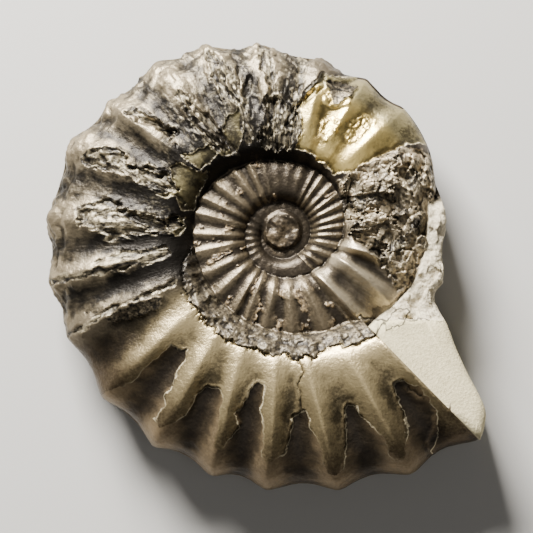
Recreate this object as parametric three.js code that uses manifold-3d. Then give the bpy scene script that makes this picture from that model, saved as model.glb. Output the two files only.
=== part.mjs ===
// Fossil ammonite, Aegasteroceras sagittarium, with the stone that still fills its mouth.
// One solid, lying on its worn left side. Millimetres, +Z up, origin at the middle of the box's bottom.
// The shell is drawn in polar terms about the coil axis: an unwrapped angle that grows towards the mouth,
// and a share of each whorl's width that runs from its inner seam, 0, to its outer edge, 1.
import * as THREE from 'three';
import Module from 'manifold-3d';
import { mergeVertices } from 'three/addons/utils/BufferGeometryUtils.js';

// Driving dimensions
const AXIS_X = 2.0; // coil axis, from the middle of the bounding box
const AXIS_Y = 3.9;
const MOUTH = 314.6; // unwrapped angle where the shell ends, degrees anticlockwise from +X
const TURN = 360;
const WHORL_GROWTH = 1.93; // outer radius, per turn
const FRONT_CREST = 7.8; // from the coil's middle plane to the top of the last whorl, at the mouth
const CREST_GROWTH = 1.59; // per turn
const REST_DEPTH = 6.7; // from the coil's middle plane, at its axis, to the resting plane
const MIDDLE_LEAN = 0.041; // rise of the middle plane towards the thick end, per millimetre
const RIB_HEIGHT = 1.7; // at the mouth
const RIB_GROWTH = 2.6; // per turn
const RIB_SWELL = 0.35; // extra depth between the ribs at the middle of the last whorl's side
const WORN_RIBS = { from: -300, to: -244, loss: 0.75 }; // where the second whorl's ribs are nearly gone
const SHOULDER = 0.3; // share of a whorl's width where it is thickest
const LEDGE_HEIGHT = 0.4; // broken edge of the shell left on the umbilical wall
const NUCLEUS = { x: 0.3, y: 0.9, radius: 2.6, height: 0.92, drop: 0.5, lumps: 0.15 };
const STONE_EDGE = 10; // exponent that squares off the stone's outer corner
const STONE_BACK = 9; // from the middle plane to the stone's underside before it was worn flat
// Sawn face of the stone: height beside the last rib, fall away from it and along it, and its end
const SAWN = { height: 6.9, fall: 0.5, along: 0.1, from: 22, end: -10.8 };
const STRIP = { height: 3, lumps: 0.3 }; // broken stone up the right side
// Broken ground on the right, with what is left of its ribs
const GROUND = { lumps: 0.45, drop: 0.35, ribs: 0.4 };
const TORN = { lumps: 0.12, from: 70, to: 200 }; // rough upper left of the last whorl
// Degrees before and after the mouth over which a ring along a seam steps over to close on itself
const CLOSING = { before: 15, after: 12 };

// Ribs, oldest first: unwrapped angle at the inner seam and at the outer edge, degrees
const RIBS = [
  [-405, -405], [-393, -393], [-381, -379], [-366, -370], [-357, -359], [-349, -350],
  [-341, -342], [-331, -333], [-323, -323], [-315, -315], [-305, -305], [-298, -298],
  [-288, -288], [-278, -278], [-268, -268], [-258, -258], [-248, -247], [-238, -234],
  [-222, -219], [-209, -206], [-198, -195], [-182, -182], [-172, -168], [-153, -154],
  [-139, -137], [-123, -120], [-114, -111], [-96, -103], [-80, -85], [-62, -66],
  [-45, -47], [-19, -33], [-8, -14], [12, 8], [30, 27], [49, 46],
  [64, 61], [76, 76], [93, 95], [105, 111], [122, 125], [140, 142],
  [155, 155], [173, 176], [188, 191], [202, 205], [220, 222], [237, 239],
  [251, 254], [268, 267], [282, 283], [300, 299], [315.8, MOUTH],
];

// Inner seam of the whorl at an unwrapped angle: [degrees, radius]
const SEAM = [
  [-410, 3.1], [-350, 4.1], [-300, 4.6], [-160, 4.6], [-90, 5.2], [-34, 6.5], [0, 8.1], [45, 9.7],
  [90, 10], [150, 11.4], [210, 11.2], [260, 12.1], [295, 13.6], [315, 15.2], [326, 18.6],
];
// Outline through the rib tips, then down the sawn stone and round the broken side: [degrees, radius]
const OUTLINE = [
  [-45.4, 37.1], [-43, 36.4], [-40, 34.9], [-36, 30.3], [-32, 27.1], [-27.5, 24.6], [-24, 22.6],
  [-19.5, 21.6],
  [-15, 22.2], [-5, 21.5], [10, 22], [19, 21.6], [30, 22.7], [46, 23.5], [61, 23.7], [76, 24],
  [95, 25.4], [111, 26.9], [125, 28.2], [142, 28.7], [155, 30.3], [176, 30.7], [191, 31], [205, 30.9],
  [222, 31.4], [239, 32], [254, 32.5], [267, 33.2], [283, 34], [299, 35.4], [314.6, 37.1],
];
// Outer edge of the broken first half turn, where the stone lies against it: [degrees, radius]
const BROKEN_EDGE = [
  [-50, 17.5], [-37, 17.9], [-20, 19.4], [0, 20.3], [12, 20.9], [19, 21.6], [30, 22.7], [46, 23.5],
];
// Width of the shell layer left on the umbilical wall: [degrees, width]
const LEDGE = [[185, 0], [205, 2.6], [230, 3.1], [262, 2.8], [280, 3], [300, 1.7], [MOUTH, 1.9]];

// Shell lost or left standing on the front, from the axis: [x, y, turn, half length, half width, rise]
const SCARS = [
  [-18.2, 16, -20, 2.4, 0.9, -0.5], [-15, 14.2, -20, 1.7, 0.8, -0.55], [-23, 10.9, -8, 2.7, 0.9, -0.5],
  [-17.4, 2, -14, 3.2, 1, -0.55], [4.2, 19.4, 45, 2.6, 0.8, -0.55], [8.1, 19.4, 30, 2.2, 1.7, 0.45],
  [-9.5, 15.1, -46, 5, 0.7, -0.4], [-4.5, 21, 80, 2.2, 0.8, -0.4], [17.5, 9, 30, 1.6, 1.2, -0.7],
  [14, -1.5, 80, 2.4, 1.1, -0.6], [17.6, -3.5, 70, 1.8, 1, 0.5], [11.5, 6.5, 20, 1.8, 0.9, 0.45],
];
// Broken ground on the right: its inner edge, [degrees, radius], and its upper edge, which leans back
const BROKEN_GROUND = [[-27, 17.3], [-19, 15], [-13, 13.8], [-10, 11.8], [0, 9.3], [19, 9], [44, 10.5]];
const BROKEN_TOP = { angle: 43, from: 11, lean: 0.85 };

const COLUMNS_PER_RIB = 6;
const COIL_COLUMNS_PER_RIB = 4;
const CORE_COLUMNS = 60;
const NUCLEUS_COLUMNS = 24;
const RIM_STEPS_FRONT = [15, 30, 45, 60, 75, 90]; // angle round the whorl's section from its crest
const RIM_STEPS_BACK = [110, 135, 160, 180];
const WALL_SHARES = [0.07, 0.15, 0.18, 0.23, SHOULDER];
const BACK_WALL_SHARES = [0.2, 0.1];
// Beside the stone: share of the width to the outline, then of the width to the broken edge
const DRAWN_IN = [
  [0, 0], [0.07, 0.14], [0.15, 0.29], [0.18, 0.43], [0.23, 0.58], [0.3, 0.74], [0.48, 0.92], [0.65, 1.05],
];

const radians = THREE.MathUtils.degToRad;
const { lerp, smoothstep } = THREE.MathUtils;

// Smooth curve through hand-set points, flat beyond its ends
function along(points, x) {
  const last = points.length - 1;
  if (x <= points[0][0]) return points[0][1];
  if (x >= points[last][0]) return points[last][1];
  const i = points.findIndex((point) => point[0] > x) - 1;
  const slope = (k) => {
    const a = points[Math.max(k - 1, 0)];
    const b = points[Math.min(k + 1, last)];
    return (b[1] - a[1]) / (b[0] - a[0]);
  };
  const [x0, y0] = points[i];
  const [x1, y1] = points[i + 1];
  const span = x1 - x0;
  const t = (x - x0) / span;
  const rise = slope(i) * span * t * (1 - t) ** 2 - slope(i + 1) * span * t * t * (1 - t);
  return y0 + (y1 - y0) * smoothstep(t, 0, 1) + rise;
}

const grown = (atMouth, growth, angle) => atMouth * growth ** ((angle - MOUTH) / TURN);
const seamAt = (angle) => along(SEAM, angle);
const crestAt = (angle) => grown(FRONT_CREST, CREST_GROWTH, angle);

// Outer radius that a whorl has, or had before the next one covered it
function fullRadius(angle) {
  if (angle >= BROKEN_EDGE.at(-1)[0]) return along(OUTLINE, angle);
  if (angle >= BROKEN_EDGE[0][0]) return along(BROKEN_EDGE, angle);
  return fullRadius(angle + TURN) / WHORL_GROWTH;
}

// Depth below the rib tops: 0 on a rib and 1 in mid trough
function trough(angle, share) {
  const top = (k) => lerp(RIBS[k][0], RIBS[k][1], share);
  const next = RIBS.findIndex((rib, k) => top(k) > angle + 1e-9);
  if (next <= 0) return 0;
  const passed = Math.max(0, angle - top(next - 1));
  return Math.sin((Math.PI * passed) / (top(next) - top(next - 1)));
}

// How far the surface lies below the rib tops. Ribs fade towards the seam, less so on the early whorls
function ribDepth(angle, share) {
  const swell = 1 + RIB_SWELL * smoothstep(share, 0.3, 0.6) * (1 - smoothstep(share, 0.7, 1));
  const late = (0.15 + 0.85 * smoothstep(share, 0.08, 0.6)) * swell;
  const early = 0.35 + 0.65 * smoothstep(share, 0, 0.3);
  const fade = lerp(early, late, smoothstep(angle, 0, 60));
  const { from, to, loss } = WORN_RIBS;
  const worn = loss * smoothstep(angle, from, from + 15) * (1 - smoothstep(angle, to - 18, to));
  return grown(RIB_HEIGHT, RIB_GROWTH, angle) * trough(angle, share) * fade * (1 - worn);
}

// Height of a whorl above the middle plane, before its ribs
function whorlHeight(angle, radius) {
  const inner = seamAt(angle);
  const share = (radius - inner) / (fullRadius(angle) - inner);
  const crest = crestAt(angle);
  if (share >= 1) return 0;
  if (share >= SHOULDER) return crest * Math.sqrt(1 - ((share - SHOULDER) / (1 - SHOULDER)) ** 2);
  const floor = angle < MOUTH - 2 * TURN ? 0.85 * crest : whorlHeight(angle - TURN, inner);
  return floor + (crest - floor) * (1 - (1 - Math.max(share, 0) / SHOULDER) ** 3);
}

// Height of a whorl with its ribs. They cut less deep where the surface turns down to the rim
function ribbedHeight(angle, radius, depthShare = 1) {
  const inner = seamAt(angle);
  const share = Math.min((radius - inner) / (fullRadius(angle) - inner), 1);
  const height = whorlHeight(angle, radius);
  return height - ribDepth(angle, share) * depthShare * Math.min(1, height / crestAt(angle));
}

// Where the stone lies against the broken side
const isStony = (angle) => angle < BROKEN_EDGE.at(-1)[0];

// Uneven lumps, between -1 and 1
function lumps(x, y) {
  return (Math.sin(1.9 * x + 1.3 * y) + Math.sin(2.7 * y - 1.1 * x + 2) + Math.sin(3.1 * x + 0.7)) / 3;
}

function scarRise(x, y) {
  return SCARS.reduce((rise, [cx, cy, turn, length, width, depth]) => {
    const c = Math.cos(radians(turn));
    const s = Math.sin(radians(turn));
    const u = ((x - cx) * c + (y - cy) * s) / length;
    const v = ((y - cy) * c - (x - cx) * s) / width;
    return rise + depth * (1 - smoothstep(Math.hypot(u, v), 0.7, 1.15));
  }, 0);
}

function brokenShare(angle, radius) {
  const inner = along(BROKEN_GROUND, angle);
  const top = BROKEN_TOP.angle - BROKEN_TOP.lean * (radius - BROKEN_TOP.from);
  return smoothstep(radius, inner - 0.5, inner + 0.8) * (1 - smoothstep(angle, top - 2, top + 2));
}

// Stone outside the last rib: a sawn face, then a lower strip of broken stone above it
function stoneHeight(angle, radius) {
  const aside = radians(angle - MOUTH);
  const x = radius * Math.cos(radians(angle));
  const y = radius * Math.sin(radians(angle));
  const down = radius * Math.cos(aside) - SAWN.from;
  const sawn = SAWN.height - SAWN.fall * radius * Math.sin(aside) - SAWN.along * down;
  const strip = STRIP.height + STRIP.lumps * lumps(1.4 * x, 1.4 * y);
  return lerp(sawn, strip, smoothstep(y, SAWN.end - 0.4, SAWN.end + 0.4));
}

// The whorl that shows at a place, as its unwrapped angle
function showing(angle, radius) {
  let unwrapped = angle;
  while (radius < seamAt(unwrapped) && unwrapped > MOUTH - 2 * TURN) unwrapped -= TURN;
  return unwrapped;
}

// Front of the fossil above the middle plane, at a compass angle and a radius
function frontHeight(angle, radius) {
  const unwrapped = showing(angle, radius);
  const x = radius * Math.cos(radians(angle));
  const y = radius * Math.sin(radians(angle));
  if (unwrapped !== angle) return ribbedHeight(unwrapped, radius) + scarRise(x, y);
  const broken = isStony(angle) ? brokenShare(angle, radius) : 0;
  const { from, to } = TORN;
  const torn = smoothstep(angle, from, from + 20) * (1 - smoothstep(angle, to - 15, to));
  const raised = radius - seamAt(angle);
  let height = ribbedHeight(angle, radius, 1 - (1 - GROUND.ribs) * broken) + scarRise(x, y);
  height += broken * (GROUND.lumps * lumps(1.3 * x, 1.3 * y) - GROUND.drop);
  height += torn * TORN.lumps * lumps(2 * y, 2 * x);
  if (raised > 0 && raised < along(LEDGE, angle)) height += LEDGE_HEIGHT;
  return height;
}

// The back is the same coil without its scars
const backHeight = (angle, radius) => ribbedHeight(showing(angle, radius), radius);

// Beside the stone the rings draw in towards the whorl, so that one of them follows its broken edge
function drawnIn(angle, inner, width) {
  const outline = along(OUTLINE, angle);
  const edge = (fullRadius(angle) - inner) / (outline - inner);
  const reach = DRAWN_IN.at(-1);
  const beyond = smoothstep(width, reach[0], 1) * 0.4 + ((width - reach[0]) / (1 - reach[0])) * 0.6;
  const drawn = width > reach[0] ? lerp(reach[1] * edge, 1, beyond) : along(DRAWN_IN, width) * edge;
  const share = smoothstep(angle, MOUTH - TURN, MOUTH - TURN + 3) * (1 - smoothstep(angle, 20, 44));
  return lerp(width, Math.min(drawn, 1), share);
}

function sidePoint(angle, radius, side) {
  const height = side > 0 ? frontHeight(angle, radius) : -backHeight(angle, radius);
  return { angle, radius, height };
}

// A point beside the stone: the broken whorl, then past its edge the stone, squared off outside
function stonyPoint(angle, inner, width, rim, side) {
  const radius = lerp(inner, along(OUTLINE, angle), drawnIn(angle, inner, width));
  if (rim === 90) return { angle, radius, height: 0 };
  const edge = fullRadius(angle);
  const squared = (1 - Math.sin(radians(rim)) ** STONE_EDGE) ** (1 / STONE_EDGE);
  const stoneWidth = along(OUTLINE, angle) - edge;
  const reached = smoothstep(radius, edge - 1.6, edge - 0.6) * smoothstep(stoneWidth, 0.1, 1);
  const covered = angle === MOUTH - TURN ? 0 : reached;
  const stone = side > 0 ? stoneHeight(angle, radius) : STONE_BACK;
  const shell = side > 0 ? frontHeight(angle, radius) : backHeight(angle, radius);
  return { angle, radius, height: side * Math.max(shell, lerp(-1, stone * squared, covered)) };
}

// A point of the last whorl. rim is the angle round its section from the front crest to the back crest
function outerPoint(angle, inner, share, rim) {
  const side = rim > 90 || share < 0 ? -1 : 1;
  const width = Math.abs(share);
  if (isStony(angle)) return stonyPoint(angle, inner, width, rim, side);
  const radius = lerp(inner, along(OUTLINE, angle), width);
  if (rim === 90) return { angle, radius: radius - ribDepth(angle, 1), height: 0 };
  if (rim === 0 || rim === 180) return sidePoint(angle, radius, side);
  const depth = ribDepth(angle, width);
  const facing = Math.abs(Math.cos(radians(rim)));
  const x = radius * Math.cos(radians(angle));
  const y = radius * Math.sin(radians(angle));
  const scars = side > 0 ? scarRise(x, y) : 0;
  return {
    angle,
    radius: radius - depth * Math.sin(radians(rim)),
    height: side * ((crestAt(angle) - depth) * facing + scars),
  };
}

// Ring round the last whorl's inner edge: its seam, cut short across the mouth to close on itself
function innerEdge(angle, turns) {
  const { before, after } = CLOSING;
  const seam = seamAt(angle - TURN * turns);
  const start = seamAt(MOUTH + after - TURN * (turns + 1));
  const stepped = (from, past) => lerp(from, start, (past + before) / (before + after));
  if (angle > MOUTH - before) return stepped(seam, angle - MOUTH);
  const past = angle - MOUTH + TURN;
  if (past < after) return stepped(seamAt(MOUTH - before - TURN * turns), past);
  return seam;
}

// Angles of a ring's columns at a share of the width: the same number to every rib, leaning with it
function ribColumns(turns, perRib, share) {
  const last = RIBS.at(-1);
  const start = lerp(...last, share) - TURN;
  const shift = TURN * turns;
  const inTurn = (angle) => angle > last[0] - TURN + 2 && angle < last[0] - 2;
  const ofTurn = RIBS.filter(([inner]) => inTurn(inner + shift));
  const tops = [start, ...ofTurn.map((rib) => lerp(...rib, share) + shift), start + TURN];
  const steps = Array.from({ length: perRib }, (_, step) => step / perRib);
  const between = (k) => steps.map((step) => lerp(tops[k], tops[k + 1], step));
  return tops.slice(1).flatMap((_, k) => between(k));
}

function outerRing(share, rim) {
  const angles = ribColumns(0, COLUMNS_PER_RIB, Math.abs(share));
  return angles.map((angle) => outerPoint(angle, innerEdge(angle, 0), share, rim));
}

function coilRing(turns, share, side) {
  const evenly = (_, i) => MOUTH - TURN + (TURN * i) / CORE_COLUMNS;
  const even = () => Array.from({ length: CORE_COLUMNS }, evenly);
  const angles = turns > 0 ? even() : ribColumns(1, COIL_COLUMNS_PER_RIB, 1 - share);
  return angles.map((angle) => {
    const radius = lerp(innerEdge(angle, turns), innerEdge(angle, turns + 1), share);
    return sidePoint(angle, radius, side);
  });
}

function nucleusRing(share, side) {
  const ring = [];
  const height = NUCLEUS.height * crestAt(MOUTH - 2 * TURN) - NUCLEUS.drop * (1 - share);
  for (let i = 0; i < NUCLEUS_COLUMNS; i++) {
    const angle = MOUTH - TURN + (TURN * i) / NUCLEUS_COLUMNS;
    const x = NUCLEUS.x + share * NUCLEUS.radius * Math.cos(radians(angle));
    const y = NUCLEUS.y + share * NUCLEUS.radius * Math.sin(radians(angle));
    ring.push({ angle, x, y, height: side * (height + NUCLEUS.lumps * lumps(2.5 * x, 2.5 * y)) });
  }
  return ring;
}

// The whole surface as rings, from the middle of the front, over the rim, to the middle of the back
function surfaceRings() {
  const section = (rim) => SHOULDER + (1 - SHOULDER) * Math.sin(radians(rim));
  const coil = (side, coreShares, shares) => [
    nucleusRing(0.45, side),
    nucleusRing(1, side),
    ...coreShares.map((share) => coilRing(1, share, side)),
    ...shares.map((share) => coilRing(0, share, side)),
  ];
  return [
    ...coil(1, [0.75, 0.4, 0.06], [0.85, 0.65, 0.42, 0.18]),
    outerRing(0, 0),
    ...WALL_SHARES.map((share) => outerRing(share, 0)),
    ...RIM_STEPS_FRONT.map((rim) => outerRing(section(rim), rim)),
    ...RIM_STEPS_BACK.map((rim) => outerRing(section(rim), rim)),
    ...BACK_WALL_SHARES.map((share) => outerRing(-share, 0)),
    ...coil(-1, [0.6, 0.1], [0.75, 0.4, 0.03]).reverse(),
  ];
}

function place(point) {
  const turn = radians(point.angle);
  const x = point.x ?? point.radius * Math.cos(turn);
  const y = point.y ?? point.radius * Math.sin(turn);
  const lean = MIDDLE_LEAN * (x * Math.cos(radians(MOUTH)) + y * Math.sin(radians(MOUTH)));
  return new THREE.Vector3(AXIS_X + x, AXIS_Y + y, REST_DEPTH + lean + point.height);
}

// Joins two rings of points. Rings of one count share their columns, others are zipped by angle
function joinRings(inner, outer, points, faces) {
  const a = inner.indices;
  const b = outer.indices;
  if (a.length === b.length) {
    for (let i = 0; i < a.length; i++) {
      const j = (i + 1) % a.length;
      const across = points[a[i]].distanceTo(points[b[j]]);
      const back = points[b[i]].distanceTo(points[a[j]]);
      if (across < back) faces.push([a[i], b[i], b[j]], [a[i], b[j], a[j]]);
      else faces.push([a[i], b[i], a[j]], [a[j], b[i], b[j]]);
    }
    return;
  }
  const angleOf = (ring, i) => ring.angles[i % ring.angles.length] + (i >= ring.angles.length ? TURN : 0);
  let i = 0;
  let j = 0;
  while (i < a.length || j < b.length) {
    const takeInner = j >= b.length || (i < a.length && angleOf(inner, i + 1) <= angleOf(outer, j + 1));
    const here = [a[i % a.length], b[j % b.length]];
    if (takeInner) faces.push([here[0], here[1], a[(i + 1) % a.length]]);
    else faces.push([here[0], here[1], b[(j + 1) % b.length]]);
    if (takeInner) i += 1;
    else j += 1;
  }
}

function coilGeometry() {
  const points = [];
  const faces = [];
  const addRing = (ring) => {
    const indices = ring.map((point) => points.push(place(point)) - 1);
    return { indices, angles: ring.map((point) => point.angle) };
  };
  const rings = surfaceRings().map(addRing);
  for (let k = 1; k < rings.length; k++) joinRings(rings[k - 1], rings[k], points, faces);
  const cap = (ring, flipped) => {
    const middle = new THREE.Vector3();
    ring.indices.forEach((index) => middle.add(points[index]));
    const pole = points.push(middle.divideScalar(ring.indices.length)) - 1;
    ring.indices.forEach((index, i) => {
      const next = ring.indices[(i + 1) % ring.indices.length];
      faces.push(flipped ? [pole, next, index] : [pole, index, next]);
    });
  };
  cap(rings[0], false);
  cap(rings.at(-1), true);
  const geometry = new THREE.BufferGeometry();
  const positions = points.flatMap((point) => point.toArray());
  geometry.setAttribute('position', new THREE.Float32BufferAttribute(positions, 3));
  geometry.setIndex(faces.flat());
  return geometry;
}

const wasm = await Module();
wasm.setup();

function toSolid(geometry) {
  const bare = geometry.clone();
  bare.deleteAttribute('normal');
  bare.deleteAttribute('uv');
  const merged = mergeVertices(bare, 1e-5);
  const vertProperties = new Float32Array(merged.attributes.position.array);
  const triVerts = new Uint32Array(merged.index.array);
  return new wasm.Manifold(new wasm.Mesh({ numProp: 3, vertProperties, triVerts }));
}

function toGeometry(solid) {
  const mesh = solid.getMesh();
  const geometry = new THREE.BufferGeometry();
  geometry.setAttribute('position', new THREE.Float32BufferAttribute(mesh.vertProperties, 3));
  geometry.setIndex(Array.from(mesh.triVerts));
  geometry.computeVertexNormals();
  return geometry;
}

// The rib tops on the back and the underside of the stone are worn to one plane, on which the fossil lies
function wornFlat(coil) {
  const below = new THREE.BoxGeometry(100, 100, 10);
  below.translate(0, 0, -5);
  return toSolid(coil).subtract(toSolid(below));
}

const ammonite = new THREE.Mesh(
  toGeometry(wornFlat(coilGeometry())),
  new THREE.MeshStandardMaterial({ color: 0x4f4b43, roughness: 0.5, metalness: 0.3 }),
);
ammonite.name = 'ammonite';

const model = new THREE.Group();
model.add(ammonite);

export default model;
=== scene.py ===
"""Fossil ammonite, Aegasteroceras sagittarium, lying on its side, with its floor, light and camera.

Lengths inside the classes are millimetres from the coil's axis. They become metres in the frame when a
mesh is written. A compass angle is a place's direction from the axis in plan, in degrees. An unwrapped
angle grows towards the mouth over all the turns. Share is the part of a whorl's width, from its inner seam
out. A span is four values: a rise from 0 to 1 over the first two, then a fall back over the last two.
"""
from __future__ import annotations

import logging
import math
from dataclasses import dataclass, field
from enum import Enum

import bpy
import numpy as np
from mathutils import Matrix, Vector

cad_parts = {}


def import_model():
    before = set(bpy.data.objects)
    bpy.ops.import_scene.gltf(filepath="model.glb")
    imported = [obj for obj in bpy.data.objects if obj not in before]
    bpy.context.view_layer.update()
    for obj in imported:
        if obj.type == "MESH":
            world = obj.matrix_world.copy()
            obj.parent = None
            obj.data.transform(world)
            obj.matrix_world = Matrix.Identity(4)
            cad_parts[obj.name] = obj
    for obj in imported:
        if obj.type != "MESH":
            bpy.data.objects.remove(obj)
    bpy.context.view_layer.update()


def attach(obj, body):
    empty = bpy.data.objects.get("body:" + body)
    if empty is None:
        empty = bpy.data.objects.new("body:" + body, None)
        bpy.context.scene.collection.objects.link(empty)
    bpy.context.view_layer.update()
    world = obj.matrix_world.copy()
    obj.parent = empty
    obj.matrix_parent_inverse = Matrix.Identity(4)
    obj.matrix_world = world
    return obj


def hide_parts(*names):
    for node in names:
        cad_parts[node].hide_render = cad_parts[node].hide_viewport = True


LOG = logging.getLogger("ammonite")
MM = 0.001
TURN = 360.0
Numbers = np.ndarray
Colour = tuple[float, float, float]
Points = list[tuple[float, float]]
Span = tuple[float, float, float, float]
FAR = 9.0  # Stands for the distance to something that a place doesn't have.


def linear(red: int, green: int, blue: int) -> Colour:
    """Turns a display colour, 0 to 255, into the linear colour that shaders use.

    Args:
        red: Display red.
        green: Display green.
        blue: Display blue.

    Returns:
        The linear colour.
    """
    def one(level: int) -> float:
        """Linear value of one display level."""
        share = level / 255
        return share / 12.92 if share <= 0.04045 else ((share + 0.055) / 1.055) ** 2.4

    return one(red), one(green), one(blue)


def smoothstep(x: Numbers, low: float | Numbers, high: float | Numbers) -> Numbers:
    """Smooth rise from 0 at low to 1 at high.

    Args:
        x: Where to read it.
        low: Where it leaves 0.
        high: Where it reaches 1.

    Returns:
        The rise at each x.
    """
    t = np.clip((x - low) / (high - low), 0, 1)
    return t * t * (3 - 2 * t)


def window(x: Numbers, span: Span) -> Numbers:
    """Smooth rise from 0 to 1 and fall back to 0 over a span."""
    return smoothstep(x, *span[:2]) * (1 - smoothstep(x, *span[2:]))


def ridge(distance: Numbers, centre: float, breadth: float) -> Numbers:
    """Rounded ridge of height 1 along a distance."""
    return np.exp(-((distance - centre) / breadth) ** 2)


def plan(radius: Numbers, angle: Numbers) -> tuple[Numbers, Numbers]:
    """Places in plan from radii and compass angles."""
    return radius * np.cos(np.radians(angle)), radius * np.sin(np.radians(angle))


def along(points: Points, x: Numbers) -> Numbers:
    """Reads a smooth curve through given points, flat beyond its ends.

    Args:
        points: The curve's points, with growing x.
        x: Where to read it.

    Returns:
        The curve's values.
    """
    xs, ys = np.array(points).T
    low = np.maximum(np.arange(len(xs)) - 1, 0)
    high = np.minimum(np.arange(len(xs)) + 1, len(xs) - 1)
    slopes = (ys[high] - ys[low]) / (xs[high] - xs[low])
    i = np.clip(np.searchsorted(xs, x, side="right") - 1, 0, len(xs) - 2)
    span = xs[i + 1] - xs[i]
    t = np.clip((x - xs[i]) / span, 0, 1)
    rise = slopes[i] * span * t * (1 - t) ** 2 - slopes[i + 1] * span * t * t * (1 - t)
    return ys[i] + (ys[i + 1] - ys[i]) * t * t * (3 - 2 * t) + rise


def near_line(line: Points, x: Numbers, y: Numbers) -> Numbers:
    """Distance to an open line of points in plan.

    Args:
        line: Points of the line.
        x: Places to measure.
        y: Places to measure.

    Returns:
        The distances.
    """
    near = np.full(x.shape, np.inf)
    for (x0, y0), (x1, y1) in zip(line, line[1:]):
        dx, dy = x1 - x0, y1 - y0
        t = np.clip(((x - x0) * dx + (y - y0) * dy) / (dx * dx + dy * dy), 0, 1)
        near = np.minimum(near, np.hypot(x - x0 - t * dx, y - y0 - t * dy))
    return near


def inside(outline: Points, x: Numbers, y: Numbers) -> Numbers:
    """Signed distance to a closed outline in plan.

    Args:
        outline: Corners of the outline.
        x: Places to measure.
        y: Places to measure.

    Returns:
        Distance to the outline, positive inside it.
    """
    closed = outline + outline[:1]
    within = np.zeros(x.shape, bool)
    for (x0, y0), (x1, y1) in zip(closed, closed[1:]):
        if y0 != y1:
            within ^= ((y0 > y) != (y1 > y)) & (x < (x1 - x0) * (y - y0) / (y1 - y0) + x0)
    near = near_line(closed, x, y)
    return np.where(within, near, -near)


class Roughness:
    """Seeded noise in plan, for lumps, broken shell and rubble."""

    steps = 2.6
    finer = 2.03

    def __init__(self, seed: int) -> None:
        """Makes the lattice.

        Args:
            seed: Number that fixes the pattern.
        """
        random = np.random.default_rng(seed)
        self.order = np.tile(random.permutation(256), 2)
        self.turns = random.random(512) * 2 * np.pi
        self.values = random.random((512, 4))

    def pick(self, column: Numbers, row: Numbers) -> Numbers:
        """Index into the lattice's tables for each cell."""
        return self.order[self.order[column & 255] + (row & 255)]

    def smooth(self, x: Numbers, y: Numbers) -> Numbers:
        """Gradient noise.

        Args:
            x: Places, in cells.
            y: Places, in cells.

        Returns:
            The noise, about -1 to 1.
        """
        column, row = np.floor(x).astype(int), np.floor(y).astype(int)
        u, v = x - column, y - row

        def corner(across: int, up: int) -> Numbers:
            """Slope of one lattice corner at the point."""
            turn = self.turns[self.pick(column + across, row + up)]
            return np.cos(turn) * (u - across) + np.sin(turn) * (v - up)

        a, b = smoothstep(u, 0, 1), smoothstep(v, 0, 1)
        low = corner(0, 0) * (1 - a) + corner(1, 0) * a
        high = corner(0, 1) * (1 - a) + corner(1, 1) * a
        return 1.5 * (low * (1 - b) + high * b)

    def layered(self, x: Numbers, y: Numbers, layers: int, keep: float = 0.5) -> Numbers:
        """Noise with finer layers added.

        Args:
            x: Places, in cells of the first layer.
            y: Places, in cells of the first layer.
            layers: How many layers.
            keep: Strength of each layer beside the one before.

        Returns:
            The noise, about -1 to 1.
        """
        total = np.zeros_like(x)
        for layer in range(layers):
            scale = self.finer**layer
            total += keep**layer * self.smooth(x * scale + 17 * layer, y * scale - 9 * layer)
        return total

    def terraces(self, x: Numbers, y: Numbers, layers: int) -> tuple[Numbers, Numbers]:
        """Flat steps with steep edges, as flaked shell has.

        Args:
            x: Places, in cells of the first layer.
            y: Places, in cells of the first layer.
            layers: How many layers of noise.

        Returns:
            Height, about -1 to 1, and 1 along the upper edges of the steps.
        """
        level = self.steps * self.layered(x, y, layers)
        part = level - np.floor(level)
        height = (np.floor(level) + smoothstep(part, 0.84, 1.0)) / self.steps
        return height, np.maximum(1 - smoothstep(part, 0.03, 0.16), smoothstep(part, 0.9, 1.0))

    def rubble(self, x: Numbers, y: Numbers) -> tuple[Numbers, Numbers]:
        """Tilted facets of irregular cells, as broken stone has.

        Args:
            x: Places, in cells.
            y: Places, in cells.

        Returns:
            Facet height, about -1 to 1, and a random number for each facet.
        """
        column, row = np.floor(x).astype(int), np.floor(y).astype(int)
        best = np.full(x.shape, np.inf)
        height = np.zeros_like(x)
        chance = np.zeros_like(x)
        for across in (-1, 0, 1):
            for up in (-1, 0, 1):
                seeds = self.values[self.pick(column + across, row + up)]
                dx = x - (column + across + seeds[..., 0])
                dy = y - (row + up + seeds[..., 1])
                distance = dx * dx + dy * dy
                nearer = distance < best
                best = np.where(nearer, distance, best)
                tilt = (seeds[..., 2] - 0.5) * dx + (seeds[..., 3] - 0.5) * dy
                height = np.where(nearer, 1.6 * (seeds[..., 2] - 0.5) + 2.2 * tilt, height)
                chance = np.where(nearer, seeds[..., 3], chance)
        return height, chance


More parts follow.
